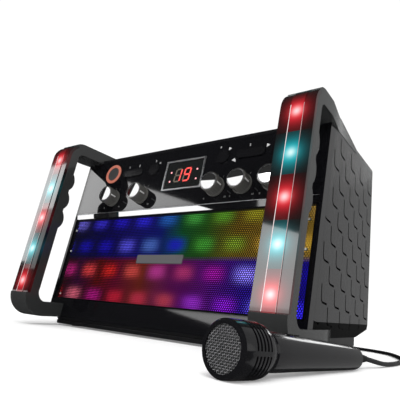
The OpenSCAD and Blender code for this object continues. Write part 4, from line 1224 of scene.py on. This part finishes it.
@dataclass
class Columns:
    """The two light columns with their lenses."""

    highlight_s: tuple[float, float] = (29.0, 212.0)
    rib_half: float = 6.3
    rib_n: float = -0.6

    def build(self) -> None:
        """Dresses handles and lenses, and lays painted highlights along the rib's edges: glowing strips that
        stand for reflected light, bright on the near edge and dim on the far one.
        """
        low, high = self.highlight_s
        for side, sign in (("left", -1), ("right", 1)):
            carried(side + "_handle", HANDLE_BLACK, 1.2, 3)
            carried(side + "_lens", ColumnLens())
            first = sign * COLUMN_X - self.rib_half
            last = sign * COLUMN_X + self.rib_half
            # Painted highlights: each strip glows where the rib's edge would reflect light, brighter on the
            # near edge than on the far one.
            for place, x0, x1, finish in (("near", first, first + 0.6, PAINTED_HIGHLIGHT),
                                          ("far", last - 0.4, last, PAINTED_HIGHLIGHT_DIM)):
                line = box_mesh((x0, low, self.rib_n - 0.2), (x1, high, self.rib_n + 0.08), LENS, 0.05)
                make(f"{side}_lens_line_{place}", line, finish)


# Disc deck


@dataclass
class Deck:
    """The disc deck under the lid."""

    parts: dict[str, tuple[Finish, float]] = field(default_factory=lambda: {
        "disc_lid": (GLOSS_BLACK, 0.4), "open_button": (KEY_GREY, 0.5), "disc_well": (DECK_BLACK, 0.3),
        "turntable": (DECK_BLACK, 0.2), "spindle_motor": (STEEL, 0.2), "guide_rods": (STEEL, 0.15),
        "hinge_pins": (STEEL, 0), "pickup": (DECK_BLACK, 0.2)})

    def build(self) -> None:
        """Dresses every piece of the deck."""
        for node, (finish, width) in self.parts.items():
            carried(node, finish, width)


# Microphone


@dataclass
class Microphone:
    """The corded microphone on the table."""

    parts: dict[str, tuple[Finish, float]] = field(default_factory=lambda: {
        "mic_body": (MIC_BLACK, 0.3), "mic_head": (MIC_GLOSS, 0.2), "mic_mesh": (RUBBER, 0),
        "mic_switch": (KEY_BLACK, 0.15), "mic_boot": (RUBBER, 0), "mic_plug": (RUBBER, 0)})
    mesh_r: float = 13.9
    mesh_pitch: float = 1.5
    wire: float = 0.26

    def woven(self) -> BMesh:
        """Weaves the head's front mesh from two sets of waved wires.

        Returns:
            The mesh, placed.
        """
        wires = []
        half = int(self.mesh_r / self.mesh_pitch)
        for turned in (False, True):
            for k in range(-half, half + 1):
                offset = k * self.mesh_pitch
                reach = math.sqrt(max(self.mesh_r ** 2 - offset ** 2, 0.0))
                steps = max(2, round(2 * reach / (self.mesh_pitch / 2)))
                bm = bmesh.new()
                bmesh.ops.create_cone(bm, segments=5, radius1=self.wire, radius2=self.wire, depth=2 * reach)
                bmesh.ops.subdivide_edges(bm, edges=[e for e in bm.edges if abs(
                    e.verts[0].co.z - e.verts[1].co.z) > reach], cuts=steps)
                phase = k + (1 if turned else 0)
                for v in bm.verts:
                    v.co.x += 0.24 * math.cos(math.pi * (v.co.z / self.mesh_pitch + phase))
                turn = Matrix.Rotation(math.pi / 2, 4, "Z") if turned else Matrix.Identity(4)
                lay = Matrix.Rotation(math.pi / 2, 4, "Y")
                bm.transform(MIC @ turn @ Matrix.Translation((0, offset, 1.15)) @ lay)
                wires.append(bm)
        return joined(wires)

    def build(self) -> None:
        """Dresses every piece of the microphone and weaves its mesh."""
        for node, (finish, width) in self.parts.items():
            carried(node, finish, width)
        make("mic_weave", self.woven(), MESH_DARK)
        neck = MIC @ Matrix.Translation((0, -11.2, 0)) @ Matrix.Rotation(math.pi / 2, 4, "X")
        mark = box_mesh((-1.4, 55.4, 0.1), (1.4, 56.0, 0.35), neck)
        make("mic_mark", mark, MARK_WHITE)


def main() -> None:
    """Builds everything in order."""
    logging.basicConfig(level=logging.INFO, format="%(name)s: %(message)s")
    for part in (Studio(), MicCord(), Cabinet(), Grille(), Controls(), Columns(), Deck(), Microphone()):
        LOG.info("building %s", type(part).__name__)
        part.build()


if __name__ == "__main__":
    main()
